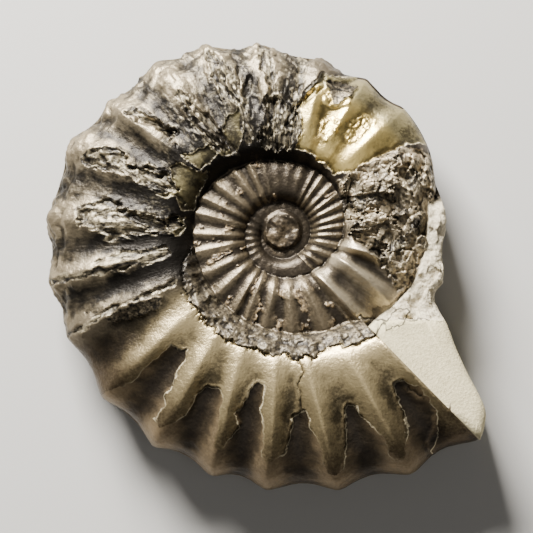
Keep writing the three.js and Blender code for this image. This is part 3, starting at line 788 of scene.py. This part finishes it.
@dataclass
class AmmoniteBody:
    """The whole fossil as one closed mesh."""

    coil: Coil
    relief: Relief
    name: str = "ammonite_fossil"
    columns: int = 138
    rings: int = 65
    doublings: int = 3
    face_limit: int = 192000
    flow_radius: float = 20.0
    front_part: float = 0.68
    flank_part: float = 0.6
    knee: float = 0.57
    back_rim_part: float = 0.5
    strip_pits: float = 0.33
    sawn_pits: float = 0.12
    top_span: Span = (60, 95, 196, 216)
    # Compass angles of the painted shade near the seam and in the top's rib troughs.
    shade_span: Span = (80, 92, 118, 135)
    plain_crests: Span = (-306, -290, -262, -244)

    def sample(self, points: Numbers) -> tuple[Numbers, Numbers, Numbers]:
        """Turns points of a unit sphere into places on the coil.

        Args:
            points: Sphere points, one to a row.

        Returns:
            Compass angle, radius and side, 1 on the front and -1 on the back, of each.
        """
        angle = self.coil.compass(points[:, 0], points[:, 1])
        way = np.arccos(np.clip(points[:, 2], -1, 1)) / np.pi
        outline = self.coil.outline(angle)
        turn = self.knee * outline
        front = way / self.front_part
        rim = np.clip((front - self.flank_part) / (1 - self.flank_part), 0, 1)
        on_front = np.where(front < self.flank_part, turn * front / self.flank_part,
                            turn + (outline - turn) * np.sin(rim * np.pi / 2))
        back = np.clip((way - self.front_part) / (1 - self.front_part), 0, 1)
        rim = np.clip(back / self.back_rim_part, 0, 1)
        inner = np.clip((back - self.back_rim_part) / (1 - self.back_rim_part), 0, 1)
        on_back = np.where(back < self.back_rim_part, turn + (outline - turn) * np.cos(rim * np.pi / 2),
                           turn * (1 - inner))
        side = np.where(way <= self.front_part, 1.0, -1.0)
        return angle, np.where(side > 0, on_front, on_back), side

    def locate(self, angle: Numbers, radius: Numbers, side: Numbers) -> dict[str, Numbers]:
        """Works out the coil's coordinates at each place.

        Args:
            angle: Compass angles.
            radius: Radii.
            side: 1 on the front and -1 on the back.

        Returns:
            Named coordinates.
        """
        coil = self.coil
        unwrapped = coil.showing(angle, radius)
        section = coil.section(unwrapped, radius)
        whorl = np.round((angle - unwrapped) / TURN)
        full = coil.full_radius(unwrapped)
        stony = (angle < coil.broken_edge[-1][0]) & (whorl == Whorl.LAST.value)
        stone_width = coil.outline(angle) - full
        stone = smoothstep(radius, full - 1.5, full - 1.0) * smoothstep(stone_width, 0.25, 1.6) * stony
        around = np.radians(angle) * self.flow_radius
        outward = radius + coil.crest_height(unwrapped) * (1 - np.sqrt(1 - section["turned"] ** 2))
        x, y = plan(radius, angle)
        return {
            "angle": angle, "radius": radius, "front": side, "unwrapped": unwrapped, "whorl": whorl,
            "share": section["share"], "height": section["height"], "turned": section["turned"],
            "phase": coil.rib_phase(unwrapped, section["share"]), "stony": stony, "stone": stone,
            "around": around, "outward": outward, "x": x, "y": y,
            "grains": Roughness(5).layered(around / 1.1, outward / 1.5, 4, 0.65),
        }

    def shape(self, place: dict[str, Numbers]) -> Numbers:
        """Places the surface.

        Args:
            place: Coordinates from locate.

        Returns:
            Points in millimetres from the coil axis and the resting plane, one to a row.
        """
        coil, relief = self.coil, self.relief
        angle, radius, side = place["angle"], place["radius"], place["front"]
        share, turned, grains = place["share"], place["turned"], place["grains"]
        rough = Roughness(5)
        masks = relief.masks(place)
        stretch = place["outward"] / np.maximum(radius, 1e-6)
        x, y = place["x"] * stretch, place["y"] * stretch
        front = (side > 0) * 1.0
        core = 1 - smoothstep(np.hypot(x - relief.nucleus[0], y - relief.nucleus[1]),
                              relief.nucleus_radius - 0.5, relief.nucleus_radius + 0.2)
        ground = smoothstep(masks["ground"], -0.15, 0.35) * front
        ribs = coil.rib_depth(place["unwrapped"], share, place["phase"]) * (1 - core) * (1 - 0.5 * ground)

        lift = relief.shell_lift(place, masks, rough)
        last = (place["whorl"] == Whorl.LAST.value) * front
        rim = smoothstep(share, 0.78, 1) * last * window(angle, relief.rim_span)
        lift += relief.rim_lumps * rim * rough.layered(x / 2.8 + 9, y / 2.8, 3, 0.45)
        lift += ground * relief.ground_lift(x, y, grains, rough)
        lift += front * relief.scar_lift(x, y, rough)
        swirl = relief.core_lumps * rough.smooth(x / 1.7 + 4, y / 1.7) - 0.1
        lift += front * core * (swirl + 0.12 * rough.layered(x / 0.9, y / 0.9, 2))
        wear = 0.03 * rough.layered(x / 1.2, y / 1.2, 4, 0.6) + 0.08 * rough.layered(x / 5, y / 5, 2)
        lift += wear * (1 - place["stone"])

        core_height = coil.core_depth * coil.crest_height(coil.mouth - 2 * TURN)
        height = place["height"] * (1 - core) + core * core_height
        facing = np.sqrt(1 - turned**2)
        out_radius = radius + (lift - ribs) * np.where(place["stony"], 0, turned)
        out_height = height + lift * np.where(place["stony"], 1, facing) - ribs * facing
        outline = coil.outline(angle)
        knee = self.knee * outline
        way = np.clip((radius - knee) / (outline - knee), 0, 1)
        squared = (1 - way**coil.stone_edge) ** (1 / coil.stone_edge)
        stone = np.where(side > 0, relief.stone_height(angle, radius, rough), coil.stone_back) * squared
        # Where there is no stone, its height sinks below the middle plane and the shell stays on top.
        stone = (stone + 1) * place["stone"] - 1
        out_height = np.where(place["stony"], np.maximum(out_height, stone), out_height)
        out_height = np.where(place["stony"] & (radius >= outline - 1e-4), 0, out_height)
        pitted = 0.5 + 0.5 * rough.layered(place["around"] / 2.4, out_height / 2.4, 4, 0.6)
        depth = self.sawn_pits + self.strip_pits * smoothstep(y, coil.sawn_end - 0.3, coil.sawn_end + 0.3)
        out_radius -= place["stone"] * smoothstep(radius, outline - 1.4, outline - 0.5) * depth * pitted
        px, py = plan(out_radius, angle)
        z = np.maximum(coil.middle(px, py) + side * out_height, 0)
        return np.stack([px + coil.axis[0], py + coil.axis[1], z], axis=1)

    def model(self) -> bpy.types.Object:
        """Starts from a fine sphere, moves it onto the fossil's surface and thins it.

        Returns:
            The finished mesh object.
        """
        bpy.ops.mesh.primitive_uv_sphere_add(segments=self.columns, ring_count=self.rings, radius=1)
        body = bpy.context.object
        body.name = body.data.name = self.name
        finer = body.modifiers.new("finer", "SUBSURF")
        finer.subdivision_type = "SIMPLE"
        finer.levels = finer.render_levels = self.doublings
        bpy.ops.object.modifier_apply(modifier=finer.name)
        mesh = body.data
        points = self.read(mesh, "co")
        points /= np.linalg.norm(points, axis=1, keepdims=True)
        placed = self.shape(self.locate(*self.sample(points)))
        mesh.vertices.foreach_set("co", (placed * MM).astype(np.float32).ravel())
        mesh.update()
        triangles = sum(len(face.vertices) - 2 for face in mesh.polygons)
        thin = body.modifiers.new("thin", "DECIMATE")
        thin.ratio = self.face_limit / triangles
        bpy.ops.object.modifier_apply(modifier=thin.name)
        bpy.ops.object.shade_smooth()
        return body

    def read(self, mesh: bpy.types.Mesh, name: str) -> Numbers:
        """Reads a vector from each vertex of a mesh.

        Args:
            mesh: The mesh.
            name: The vertices' property, such as co.

        Returns:
            The vectors, one to a row.
        """
        values = np.empty(len(mesh.vertices) * 3, np.float32)
        mesh.vertices.foreach_get(name, values)
        return values.reshape(-1, 3).astype(float)

    def paint_fields(self, body: bpy.types.Object) -> None:
        """Stores where each finish and each painted shade shows as numbers on the mesh's vertices.

        Args:
            body: The finished mesh object.
        """
        coil, relief = self.coil, self.relief
        mesh = body.data
        points = self.read(mesh, "co") / MM
        x, y = points[:, 0] - coil.axis[0], points[:, 1] - coil.axis[1]
        angle = coil.compass(x, y)
        side = np.where(points[:, 2] >= coil.middle(x, y), 1.0, -1.0)
        place = self.locate(angle, np.hypot(x, y), side)
        masks = relief.masks(place)
        share, front, unwrapped = place["share"], side > 0, place["unwrapped"]
        last = place["whorl"] == Whorl.LAST.value
        top = last * window(angle, self.top_span)
        low = smoothstep(angle + 3 * Roughness(23).smooth(x / 4, y / 4), 196, 226) * last
        # Painted shade near the seam at the top and in the top's rib troughs, which the light runs along.
        shade_zone = window(angle, self.shade_span)
        trough = smoothstep(1 - masks["crest"], 0.3, 0.85) * (1 - smoothstep(share, 0.8, 1)) * front
        seam_shade = shade_zone * (1 - smoothstep(share, 0.3, 0.6))
        olive_end = 1 - smoothstep(angle + share * 8, 36, 48)
        # The stored crest paints rib crests lighter as highlight and troughs darker as shade; it is weaker
        # before the first listed rib and on the plain ribs.
        strength = np.where(unwrapped < coil.ribs[0][0], 0.3, 1)
        strength = strength * (1 - 0.7 * window(unwrapped, self.plain_crests))
        rough = Roughness(5)
        _, chance = relief.facets(x, y, rough)
        _, shard_edge = relief.shards(x, y, rough)
        flaked = np.maximum(smoothstep(masks["hole"], -0.05, 0.1), smoothstep(masks["tear"], -0.1, 0.2))
        flaked = np.maximum(flaked, 0.8 * masks["chipped"])
        shard_edge = shard_edge * smoothstep(masks["ground"], -0.1, 0.3) * front
        kept = ("patch", "ground", "tear", "hole", "gold", "flake", "grime", "crack")
        fields = {name: masks[name] for name in kept} | {
            "bronze": low, "top": top, "ledge": relief.ledge_reach(place, masks), "stone": place["stone"],
            "sawn": place["stone"] * smoothstep(coil.sawn_end - y, -0.3, 0.3), "inner": ~last,
            "early": last * (1 - smoothstep(angle, 15, 30)),
            "seam_trough_shade": last * np.maximum(seam_shade, (0.4 + 0.5 * shade_zone) * trough * top),
            "olive": np.maximum.reduce([top, smoothstep(share, 0.66, 0.8), olive_end]),
            "edge": np.maximum(masks["edge"] * flaked, shard_edge),
            "core": (1 - smoothstep(place["radius"], 1.7, 2.9)) * front,
            "crest": masks["crest"] * strength, "share": share * last, "front": front,
            # hollow depth, for the shade painted into hollows
            "chance": chance, "hollow_shade": self.hollows(mesh, points),
        }
        flow = np.stack([place["around"], place["radius"], points[:, 2]], axis=1) * MM
        layer = mesh.attributes.new("flow", "FLOAT_VECTOR", "POINT")
        layer.data.foreach_set("vector", flow.astype(np.float32).ravel())
        for name, values in fields.items():
            layer = mesh.attributes.new(name, "FLOAT", "POINT")
            layer.data.foreach_set("value", np.asarray(values, np.float32))

    def hollows(self, mesh: bpy.types.Mesh, points: Numbers) -> Numbers:
        """How far each vertex lies below its neighbours, in millimetres, positive in hollows, where the
        material paints shade.

        Args:
            mesh: The finished mesh.
            points: Its vertices, in millimetres.

        Returns:
            The depth at each vertex.
        """
        edges = np.empty(len(mesh.edges) * 2, np.int32)
        mesh.edges.foreach_get("vertices", edges)
        a, b = edges.reshape(-1, 2).T
        count = np.bincount(a, minlength=len(points)) + np.bincount(b, minlength=len(points))

        def mean(values: Numbers) -> Numbers:
            """Mean of the neighbours' values."""
            total = np.bincount(a, values[b], len(points)) + np.bincount(b, values[a], len(points))
            return total / np.maximum(count, 1)

        smooth = points.copy()
        for _ in range(4):
            smooth = np.stack([mean(smooth[:, k]) for k in range(3)], axis=1)
        return mean(((smooth - points) * self.read(mesh, "normal")).sum(axis=1))


class Field:
    """A number over the surface, as a socket, that takes Python's arithmetic."""

    def __init__(self, book: "NodeBook", socket: bpy.types.NodeSocket) -> None:
        """Wraps a socket.

        Args:
            book: The node tree that the socket is in.
            socket: An output socket.
        """
        self.book = book
        self.socket = socket

    def _math(self, kind: str, *values: "Field | float") -> "Field":
        """A Math node on some values."""
        made = self.book.node("ShaderNodeMath", {"operation": kind}, dict(enumerate(values)))
        return Field(self.book, made.outputs[0])

    def __add__(self, other: "Field | float") -> "Field":
        """Sum."""
        return self._math("ADD", self, other)

    def __radd__(self, other: float) -> "Field":
        """Sum, number first."""
        return self._math("ADD", other, self)

    def __sub__(self, other: "Field | float") -> "Field":
        """Difference."""
        return self._math("SUBTRACT", self, other)

    def __rsub__(self, other: float) -> "Field":
        """Difference, number first."""
        return self._math("SUBTRACT", other, self)

    def __mul__(self, other: "Field | float") -> "Field":
        """Product."""
        return self._math("MULTIPLY", self, other)

    def __rmul__(self, other: float) -> "Field":
        """Product, number first."""
        return self._math("MULTIPLY", other, self)

    def most(self, other: "Field | float") -> "Field":
        """The larger of two."""
        return self._math("MAXIMUM", self, other)


class NodeBook:
    """One material's nodes."""

    def __init__(self, name: str) -> None:
        """Starts an empty material.

        Args:
            name: The material's name.
        """
        self.material = bpy.data.materials.new(name)
        self.material.use_nodes = True
        self.tree = self.material.node_tree
        self.tree.nodes.clear()
        self.known: dict[str, Field] = {}
        self.place = self.node("ShaderNodeTexCoord").outputs["Object"]

    def node(self, kind: str, settings: dict | None = None, inputs: dict | None = None) -> bpy.types.Node:
        """Adds a node.

        Args:
            kind: The node's type.
            settings: Its properties.
            inputs: Values or links for its sockets, by name or number.

        Returns:
            The node.
        """
        made = self.tree.nodes.new(kind)
        for key, value in (settings or {}).items():
            setattr(made, key, value)
        for key, value in (inputs or {}).items():
            socket = made.inputs[key]
            if isinstance(value, Field):
                self.tree.links.new(value.socket, socket)
            elif isinstance(value, bpy.types.NodeSocket):
                self.tree.links.new(value, socket)
            else:
                socket.default_value = value
        return made

    def stored(self, name: str) -> Field:
        """Reads a number stored on the mesh's vertices.

        Args:
            name: The number's name there.

        Returns:
            The number, from one node however often it is read.
        """
        if name not in self.known:
            made = self.node("ShaderNodeAttribute", {"attribute_name": name})
            self.known[name] = Field(self, made.outputs["Fac"])
        return self.known[name]

    def streaks(self, size: float, length: float) -> Field:
        """Noise drawn out along the ribs, -0.5 to 0.5.

        Args:
            size: Breadth of a streak, in millimetres.
            length: Length of a streak, in millimetres.

        Returns:
            The noise.
        """
        flow = self.node("ShaderNodeAttribute", {"attribute_name": "flow"})
        drawn_out = 1 / (length * MM)
        scaled = self.node("ShaderNodeMapping", {}, {
            "Vector": flow.outputs["Vector"], "Scale": (1 / (size * MM), drawn_out, drawn_out)})
        inputs = {"Vector": scaled.outputs["Vector"], "Scale": 1.0, "Detail": 4.0, "Roughness": 0.6}
        return Field(self, self.node("ShaderNodeTexNoise", {}, inputs).outputs["Fac"]) - 0.5

    def noise(self, size: float, detail: float = 4.0, roughness: float = 0.55) -> Field:
        """Noise around zero, -0.5 to 0.5.

        Args:
            size: Size of its largest lumps, in millimetres.
            detail: Number of finer layers.
            roughness: Strength of the finer layers.

        Returns:
            The noise.
        """
        inputs = {"Vector": self.place, "Scale": 1 / (size * MM), "Detail": detail, "Roughness": roughness}
        return Field(self, self.node("ShaderNodeTexNoise", {}, inputs).outputs["Fac"]) - 0.5

    def grains(self, size: float) -> Field:
        """Splits the surface into grains.

        Args:
            size: Size of a grain, in millimetres.

        Returns:
            A random number for each grain.
        """
        made = self.node("ShaderNodeTexVoronoi", {}, {"Vector": self.place, "Scale": 1 / (size * MM)})
        split = self.node("ShaderNodeSeparateColor", {}, {"Color": made.outputs["Color"]})
        return Field(self, split.outputs[0])

    def rise(self, value: Field, low: float, high: float) -> Field:
        """Smooth rise from 0 at low to 1 at high.

        Args:
            value: What to read it at.
            low: Where it leaves 0.
            high: Where it reaches 1.

        Returns:
            The rise.
        """
        inputs = {"Value": value, "From Min": low, "From Max": high}
        made = self.node("ShaderNodeMapRange", {"interpolation_type": "SMOOTHSTEP"}, inputs)
        return Field(self, made.outputs["Result"])

    def blend(self, first: Colour | bpy.types.NodeSocket, second: Colour | bpy.types.NodeSocket,
              amount: Field) -> bpy.types.NodeSocket:
        """Mixes two colours.

        Args:
            first: Colour where amount is 0.
            second: Colour where amount is 1.
            amount: How much of the second.

        Returns:
            The mixed colour.
        """
        def ready(colour: Colour | bpy.types.NodeSocket) -> tuple | bpy.types.NodeSocket:
            """A colour with alpha, or its link."""
            return (*colour, 1.0) if isinstance(colour, tuple) else colour

        made = self.node("ShaderNodeMix", {"data_type": "RGBA"}, {"Factor": amount})
        colour_inputs = [socket for socket in made.inputs if socket.type == "RGBA"]
        for socket, colour in zip(colour_inputs, (ready(first), ready(second))):
            if isinstance(colour, bpy.types.NodeSocket):
                self.tree.links.new(colour, socket)
            else:
                socket.default_value = colour
        return next(output for output in made.outputs if output.type == "RGBA")

    def surface(self, inputs: dict) -> bpy.types.Material:
        """Ends the tree in a shader.

        Args:
            inputs: Values or links for the shader's sockets, by name.

        Returns:
            The finished material.
        """
        shader = self.node("ShaderNodeBsdfPrincipled", {}, inputs)
        self.node("ShaderNodeOutputMaterial", {}, {"Surface": shader.outputs["BSDF"]})
        return self.material


@dataclass(frozen=True)
class Finish:
    """How one kind of surface looks: a pale and a deep tone, mixed by random tone, and on some finishes as
    painted light and shade on crests and rims.
    """

    light: Colour
    dark: Colour
    roughness: float
    metallic: float


class Coat(NodeBook):
    """The fossil's nodes: the noises that its finishes share, and what they have built up so far."""

    def __init__(self, name: str, base: Finish) -> None:
        """Starts with one finish all over.

        Args:
            name: The material's name.
            base: The finish.
        """
        super().__init__(name)
        self.mottle = self.noise(2.2, 5)
        self.fine = self.noise(0.35, 4, 0.6)
        self.wander = self.noise(0.6, 3)
        self.streak = self.streaks(0.5, 2.6)
        # crest drives rib crests painted lighter as highlight, and troughs painted darker as shade.
        self.crest = self.rise(self.stored("crest") + 0.5 * self.mottle + 0.3 * self.fine, 0.25, 0.95)
        self.speckle = self.rise(self.fine + 0.5 * self.mottle, -0.25, 0.3)
        self.bare = self.rise(self.stored("gold") + self.wander, -0.1, 0.1)
        self.broken = self.rise(self.stored("ground") + self.wander, -0.2, 0.3)
        # Base tone: random, and a little lighter on rib crests as painted highlight.
        light_share = self.rise(0.3 * self.crest + self.mottle, -0.2, 0.5)
        self.colour = self.blend(base.dark, base.light, light_share)
        self.rough = base.roughness + 0.25 * self.fine
        self.metal = base.metallic * (1 - self.stored("stone"))

    def cover(self, finish: Finish, amount: Field, light_share: Field) -> None:
        """Lays one finish over what is there.

        Args:
            finish: The finish.
            amount: Where it shows.
            light_share: Where its light colour shows.
        """
        own = self.blend(finish.dark, finish.light, light_share)
        self.colour = self.blend(self.colour, own, amount)
        self.rough = self.rough + amount * (finish.roughness + 0.2 * self.fine - self.rough)
        self.metal = self.metal + amount * (finish.metallic - self.metal)

    def border(self, name: str, width: float) -> Field:
        """A broken line just outside an edge.

        Args:
            name: The signed distance that is zero on the edge.
            width: Breadth of the line, in millimetres.

        Returns:
            Where the line shows.
        """
        near = self.stored(name) + 0.3 * self.wander
        line = self.rise(near, -width, -0.3 * width) * (1 - self.rise(near, 0.0, 0.5 * width))
        return line * self.rise(self.mottle + self.wander, -0.3, -0.1)


@dataclass(frozen=True)
class FossilFinish:
    """All the finishes of the fossil, mixed over its surface, with painted light and shade laid in."""

    bronze: Finish = Finish(linear(196, 177, 134), linear(82, 69, 51), 0.38, 0.85)
    charcoal: Finish = Finish(linear(88, 80, 70), linear(44, 40, 35), 0.42, 0.75)
    dark_shell: Finish = Finish(linear(136, 118, 90), linear(64, 54, 42), 0.42, 0.65)
    top_shell: Finish = Finish(linear(132, 120, 98), linear(30, 27, 23), 0.42, 0.75)
    torn_shell: Finish = Finish(linear(214, 200, 166), linear(40, 34, 27), 0.45, 0.45)
    brass: Finish = Finish(linear(250, 222, 142), linear(166, 142, 82), 0.33, 0.9)
    olive: Finish = Finish(linear(146, 135, 98), linear(72, 65, 46), 0.42, 0.7)
    rubble: Finish = Finish(linear(168, 154, 128), linear(50, 45, 38), 0.42, 0.4)
    rust: Finish = Finish(linear(158, 118, 78), linear(74, 55, 40), 0.5, 0.3)
    ledge: Finish = Finish(linear(128, 117, 96), linear(36, 31, 25), 0.44, 0.5)
    inner: Finish = Finish(linear(128, 115, 93), linear(56, 49, 40), 0.38, 0.75)
    early_shell: Finish = Finish(linear(176, 163, 138), linear(84, 75, 62), 0.38, 0.75)
    splinters: Finish = Finish(linear(178, 165, 136), linear(34, 29, 23), 0.45, 0.5)
    nucleus: Finish = Finish(linear(110, 96, 75), linear(48, 41, 32), 0.42, 0.55)
    grime: Finish = Finish(linear(160, 138, 104), linear(48, 38, 27), 0.5, 0.2)
    stone: Finish = Finish(linear(220, 208, 168), linear(190, 179, 142), 0.85, 0.0)
    strip: Finish = Finish(linear(226, 214, 186), linear(162, 151, 128), 0.85, 0.0)
    shadow: Colour = (0.012, 0.01, 0.008)

    def lay_shell(self, coat: Coat) -> None:
        """Lays on what covers whole whorls, and the places that shell has left, with painted light and
        shade: crests lighter, the top lighter and the bronze darker towards the rim.

        Args:
            coat: What the finishes build up.
        """
        at, rise, cover = coat.stored, coat.rise, coat.cover
        mottle, fine, wander, streak, crest = coat.mottle, coat.fine, coat.wander, coat.streak, coat.crest
        # Bronze: painted darker towards the rim, where the flank turns away from the light, and lighter on
        # rib crests as painted highlight, with random tone.
        outward = at("share") - 0.28 + 0.3 * mottle + 0.4 * fine
        cover(self.bronze, at("bronze"), 1 - rise(outward - 0.18 * crest, -0.15, 0.5))
        # Top shell: painted lighter towards the rim, which faces the light, and on rib crests as painted
        # highlight, with random tone and streaks.
        lit_rim = 0.7 * rise(at("share") + 0.6 * mottle, 0.15, 0.8) - 0.45
        cover(self.top_shell, at("top"), rise(lit_rim + 0.45 * crest + mottle + 0.8 * streak, 0.0, 0.85))
        # Inner whorls: rib crests painted lighter as highlight, with random tone.
        cover(self.inner, at("inner"), rise(0.5 * crest + 0.8 * mottle + 0.5 * fine, -0.1, 0.8))
        # Early shell: rib crests painted lighter as highlight, with random tone and streaks.
        worn = rise(0.6 * crest + 0.3 * mottle + 0.5 * streak + 0.3 * fine, -0.2, 0.8)
        cover(self.early_shell, at("early"), worn)
        # Brass: rib crests painted lighter as highlight, with random tone and streaks.
        cover(self.brass, coat.bare, rise(crest + mottle + streak, -0.3, 0.75))
        cover(self.olive, coat.bare * at("olive"), rise(mottle + fine + 0.5 * crest, -0.2, 0.5))
        flaked = rise(at("flake") + 0.4 * wander, -0.05, 0.1)
        cover(self.top_shell, flaked, rise(fine + wander, -0.2, 0.3))

    def lay_breaks(self, coat: Coat) -> None:
        """Lays on torn and lost shell, crust, dirt, broken ground and stone.

        Args:
            coat: What the finishes build up.
        """
        at, rise, cover, border = coat.stored, coat.rise, coat.cover, coat.border
        mottle, fine, wander, streak = coat.mottle, coat.fine, coat.wander, coat.streak
        blades = rise(1.4 * streak + 0.5 * fine, -0.2, 0.3)
        cover(self.splinters, rise(at("tear") + wander, -0.1, 0.25), blades)
        cover(self.splinters, rise(at("hole") + 0.5 * wander, -0.1, 0.05), blades)
        cover(self.torn_shell, border("hole", 0.2) * rise(streak, -0.05, 0.15), coat.speckle)
        lost = rise(at("patch") + 0.4 * wander, -0.04, 0.1) * at("front")
        # Lost shell: rib crests painted lighter as highlight, with random tone.
        cover(self.dark_shell, lost, rise(0.7 * at("crest") + 0.8 * mottle + 0.9 * fine, -0.1, 1.0))
        rib_free = 1 - rise(at("crest"), 0.75, 0.97)
        cover(self.torn_shell, border("patch", 0.17) * rib_free, rise(fine, -0.4, 0.0))
        cover(self.nucleus, at("core"), rise(mottle + wander + 0.4 * fine, -0.2, 0.35))
        cover(self.grime, at("grime"), rise(wander + fine, -0.2, 0.2))
        cover(self.torn_shell, border("gold", 0.16), rise(fine, -0.2, 0.2))
        crust = rise(at("ledge") + 0.2 * fine, -0.02, 0.06)
        cover(self.ledge, crust, rise(wander + 0.8 * streak + 0.4 * fine, -0.25, 0.35))
        grain = coat.grains(0.35)
        facets = rise(0.7 * at("chance") + 0.25 * grain + 0.7 * wander + 0.5 * mottle, 0.15, 0.8)
        cover(self.rubble, coat.broken, facets)
        cover(self.rust, 0.7 * coat.broken * rise(mottle + 0.6 * wander, 0.12, 0.4), facets)
        edges = 0.75 * at("edge") * (1 - coat.bare)
        cover(self.torn_shell, edges * rise(mottle + 0.5 * wander, -0.35, 0.1), coat.speckle)
        cover(self.strip, rise(at("stone"), 0.2, 0.6), coat.speckle)
        cover(self.stone, rise(at("sawn"), 0.3, 0.7), coat.speckle)

    def darken(self, coat: Coat) -> None:
        """Paints shade: darkens hollows, cracks, ditches, the umbilical wall in its shadow, and the rib
        troughs at the top that the light runs along.

        Args:
            coat: What the finishes build up.
        """
        at, rise = coat.stored, coat.rise
        mottle, wander = coat.mottle, coat.wander
        # Painted shade in hollows, by how deep they lie.
        hollow_shade = rise(at("hollow_shade") + 0.05 * coat.fine, -0.01, 0.05)
        # Painted shadow on the umbilical wall at the top, painted shade in cracks and slots, and painted
        # shadow in the ditch by the crust.
        wall = at("top") * (1 - rise(at("share") + 0.4 * mottle + 0.15 * wander, 0.04, 0.32))
        split = 1 - rise(at("crack") + 0.1 * wander, 0.04, 0.13)
        ditch_shadow = rise(at("ledge") + 0.2 * wander, -0.26, -0.14) * (1 - rise(at("ledge"), -0.06, 0.0))
        kept_light = (1 - 0.45 * at("inner")) * (1 - 0.5 * at("core")) * (1 - 0.4 * coat.broken)
        shade = (0.75 * hollow_shade * kept_light).most(0.8 * wall) * (1 - at("stone"))
        # Painted shade near the seam at the top and in the top's rib troughs.
        painted_murk = at("seam_trough_shade") * rise(mottle + wander + 0.4 * coat.streak, -0.3, 0.12)
        shade = shade.most(0.85 * split).most(0.85 * ditch_shadow).most(0.75 * painted_murk)
        coat.colour = coat.blend(coat.colour, self.shadow, shade)

    def build(self) -> bpy.types.Material:
        """Builds the material.

        Returns:
            The material.
        """
        coat = Coat("fossil_stone", self.charcoal)
        self.lay_shell(coat)
        self.lay_breaks(coat)
        self.darken(coat)
        stone, sawn = coat.stored("stone"), coat.stored("sawn")
        relief = (0.06 + 0.06 * stone) * coat.fine + 0.05 * coat.wander
        relief = relief + 0.06 * coat.streak * coat.stored("top")
        relief = relief + (stone - sawn) * (0.2 * coat.mottle + 0.12 * coat.wander)
        bump = coat.node("ShaderNodeBump", {}, {"Height": relief, "Distance": MM, "Strength": 1.0})
        return coat.surface({
            "Base Color": coat.colour, "Roughness": coat.rough, "Metallic": coat.metal,
            "Normal": bump.outputs["Normal"],
        })


@dataclass
class Studio:
    """Floor, lights and camera."""

    floor_size: float = 3.0
    floor_colour: Colour = (0.5, 0.49, 0.47)
    floor_roughness: float = 0.9
    camera_height: float = 0.45
    view_width: float = 0.0693
    view_plane: float = 0.011
    view_centre: tuple[float, float] = (0.00026, 0.00006)
    sensor: float = 36.0
    key_place: tuple[float, float, float] = (-0.13, 0.30, 0.19)
    key_size: float = 0.16
    key_power: float = 9.5
    fill_place: tuple[float, float, float] = (0.05, -0.2, 0.5)
    fill_size: float = 0.5
    fill_power: float = 0.45
    light_colour: Colour = (1.0, 0.975, 0.93)
    world_level: float = 0.06

    def floor(self) -> bpy.types.Object:
        """Makes the floor that the fossil lies on.

        Returns:
            The floor's object.
        """
        bpy.ops.mesh.primitive_plane_add(size=self.floor_size)
        plane = bpy.context.object
        plane.name = plane.data.name = "studio_floor"
        paper = {"Base Color": (*self.floor_colour, 1.0), "Roughness": self.floor_roughness}
        plane.data.materials.append(NodeBook("studio_floor_paper").surface(paper))
        return plane

    def light(self, name: str, place: tuple[float, float, float], size: float, power: float) -> None:
        """Adds a square soft light that faces the fossil.

        Args:
            name: The light's name.
            place: Where it stands, in metres.
            size: Length of its side.
            power: Its power in watts.
        """
        bpy.ops.object.light_add(type="AREA", location=place)
        lamp = bpy.context.object
        lamp.name = name
        lamp.data.size = size
        lamp.data.energy = power
        lamp.data.color = self.light_colour
        lamp.rotation_euler = (-Vector(place)).to_track_quat("-Z", "Y").to_euler()

    def world(self) -> None:
        """Sets the even light from all round."""
        world = bpy.data.worlds.new("studio_world")
        world.use_nodes = True
        background = world.node_tree.nodes["Background"]
        background.inputs["Color"].default_value = (1, 1, 1, 1)
        background.inputs["Strength"].default_value = self.world_level
        bpy.context.scene.world = world

    def camera(self) -> None:
        """Places the camera straight above, with the picture's top towards +Y."""
        bpy.ops.object.camera_add(location=(*self.view_centre, self.camera_height), rotation=(0, 0, 0))
        camera = bpy.context.object
        camera.name = "photo_camera"
        camera.data.sensor_width = self.sensor
        camera.data.lens = self.sensor * (self.camera_height - self.view_plane) / self.view_width
        bpy.context.scene.camera = camera

    def build(self) -> None:
        """Builds the whole studio."""
        self.floor()
        self.light("key_light", self.key_place, self.key_size, self.key_power)
        self.light("fill_light", self.fill_place, self.fill_size, self.fill_power)
        self.world()
        self.camera()


def main() -> None:
    """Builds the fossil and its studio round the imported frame."""
    logging.basicConfig(level=logging.INFO)
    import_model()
    bpy.ops.object.select_all(action="DESELECT")
    Studio().build()
    bpy.ops.object.select_all(action="DESELECT")

    coil = Coil()
    body = AmmoniteBody(coil, Relief(coil))
    fossil = body.model()
    body.paint_fields(fossil)
    fossil.data.materials.append(FossilFinish().build())
    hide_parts("ammonite")
    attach(fossil, "root")
    LOG.info("%s: %d faces", fossil.name, len(fossil.data.polygons))


if __name__ == "__main__":
    main()
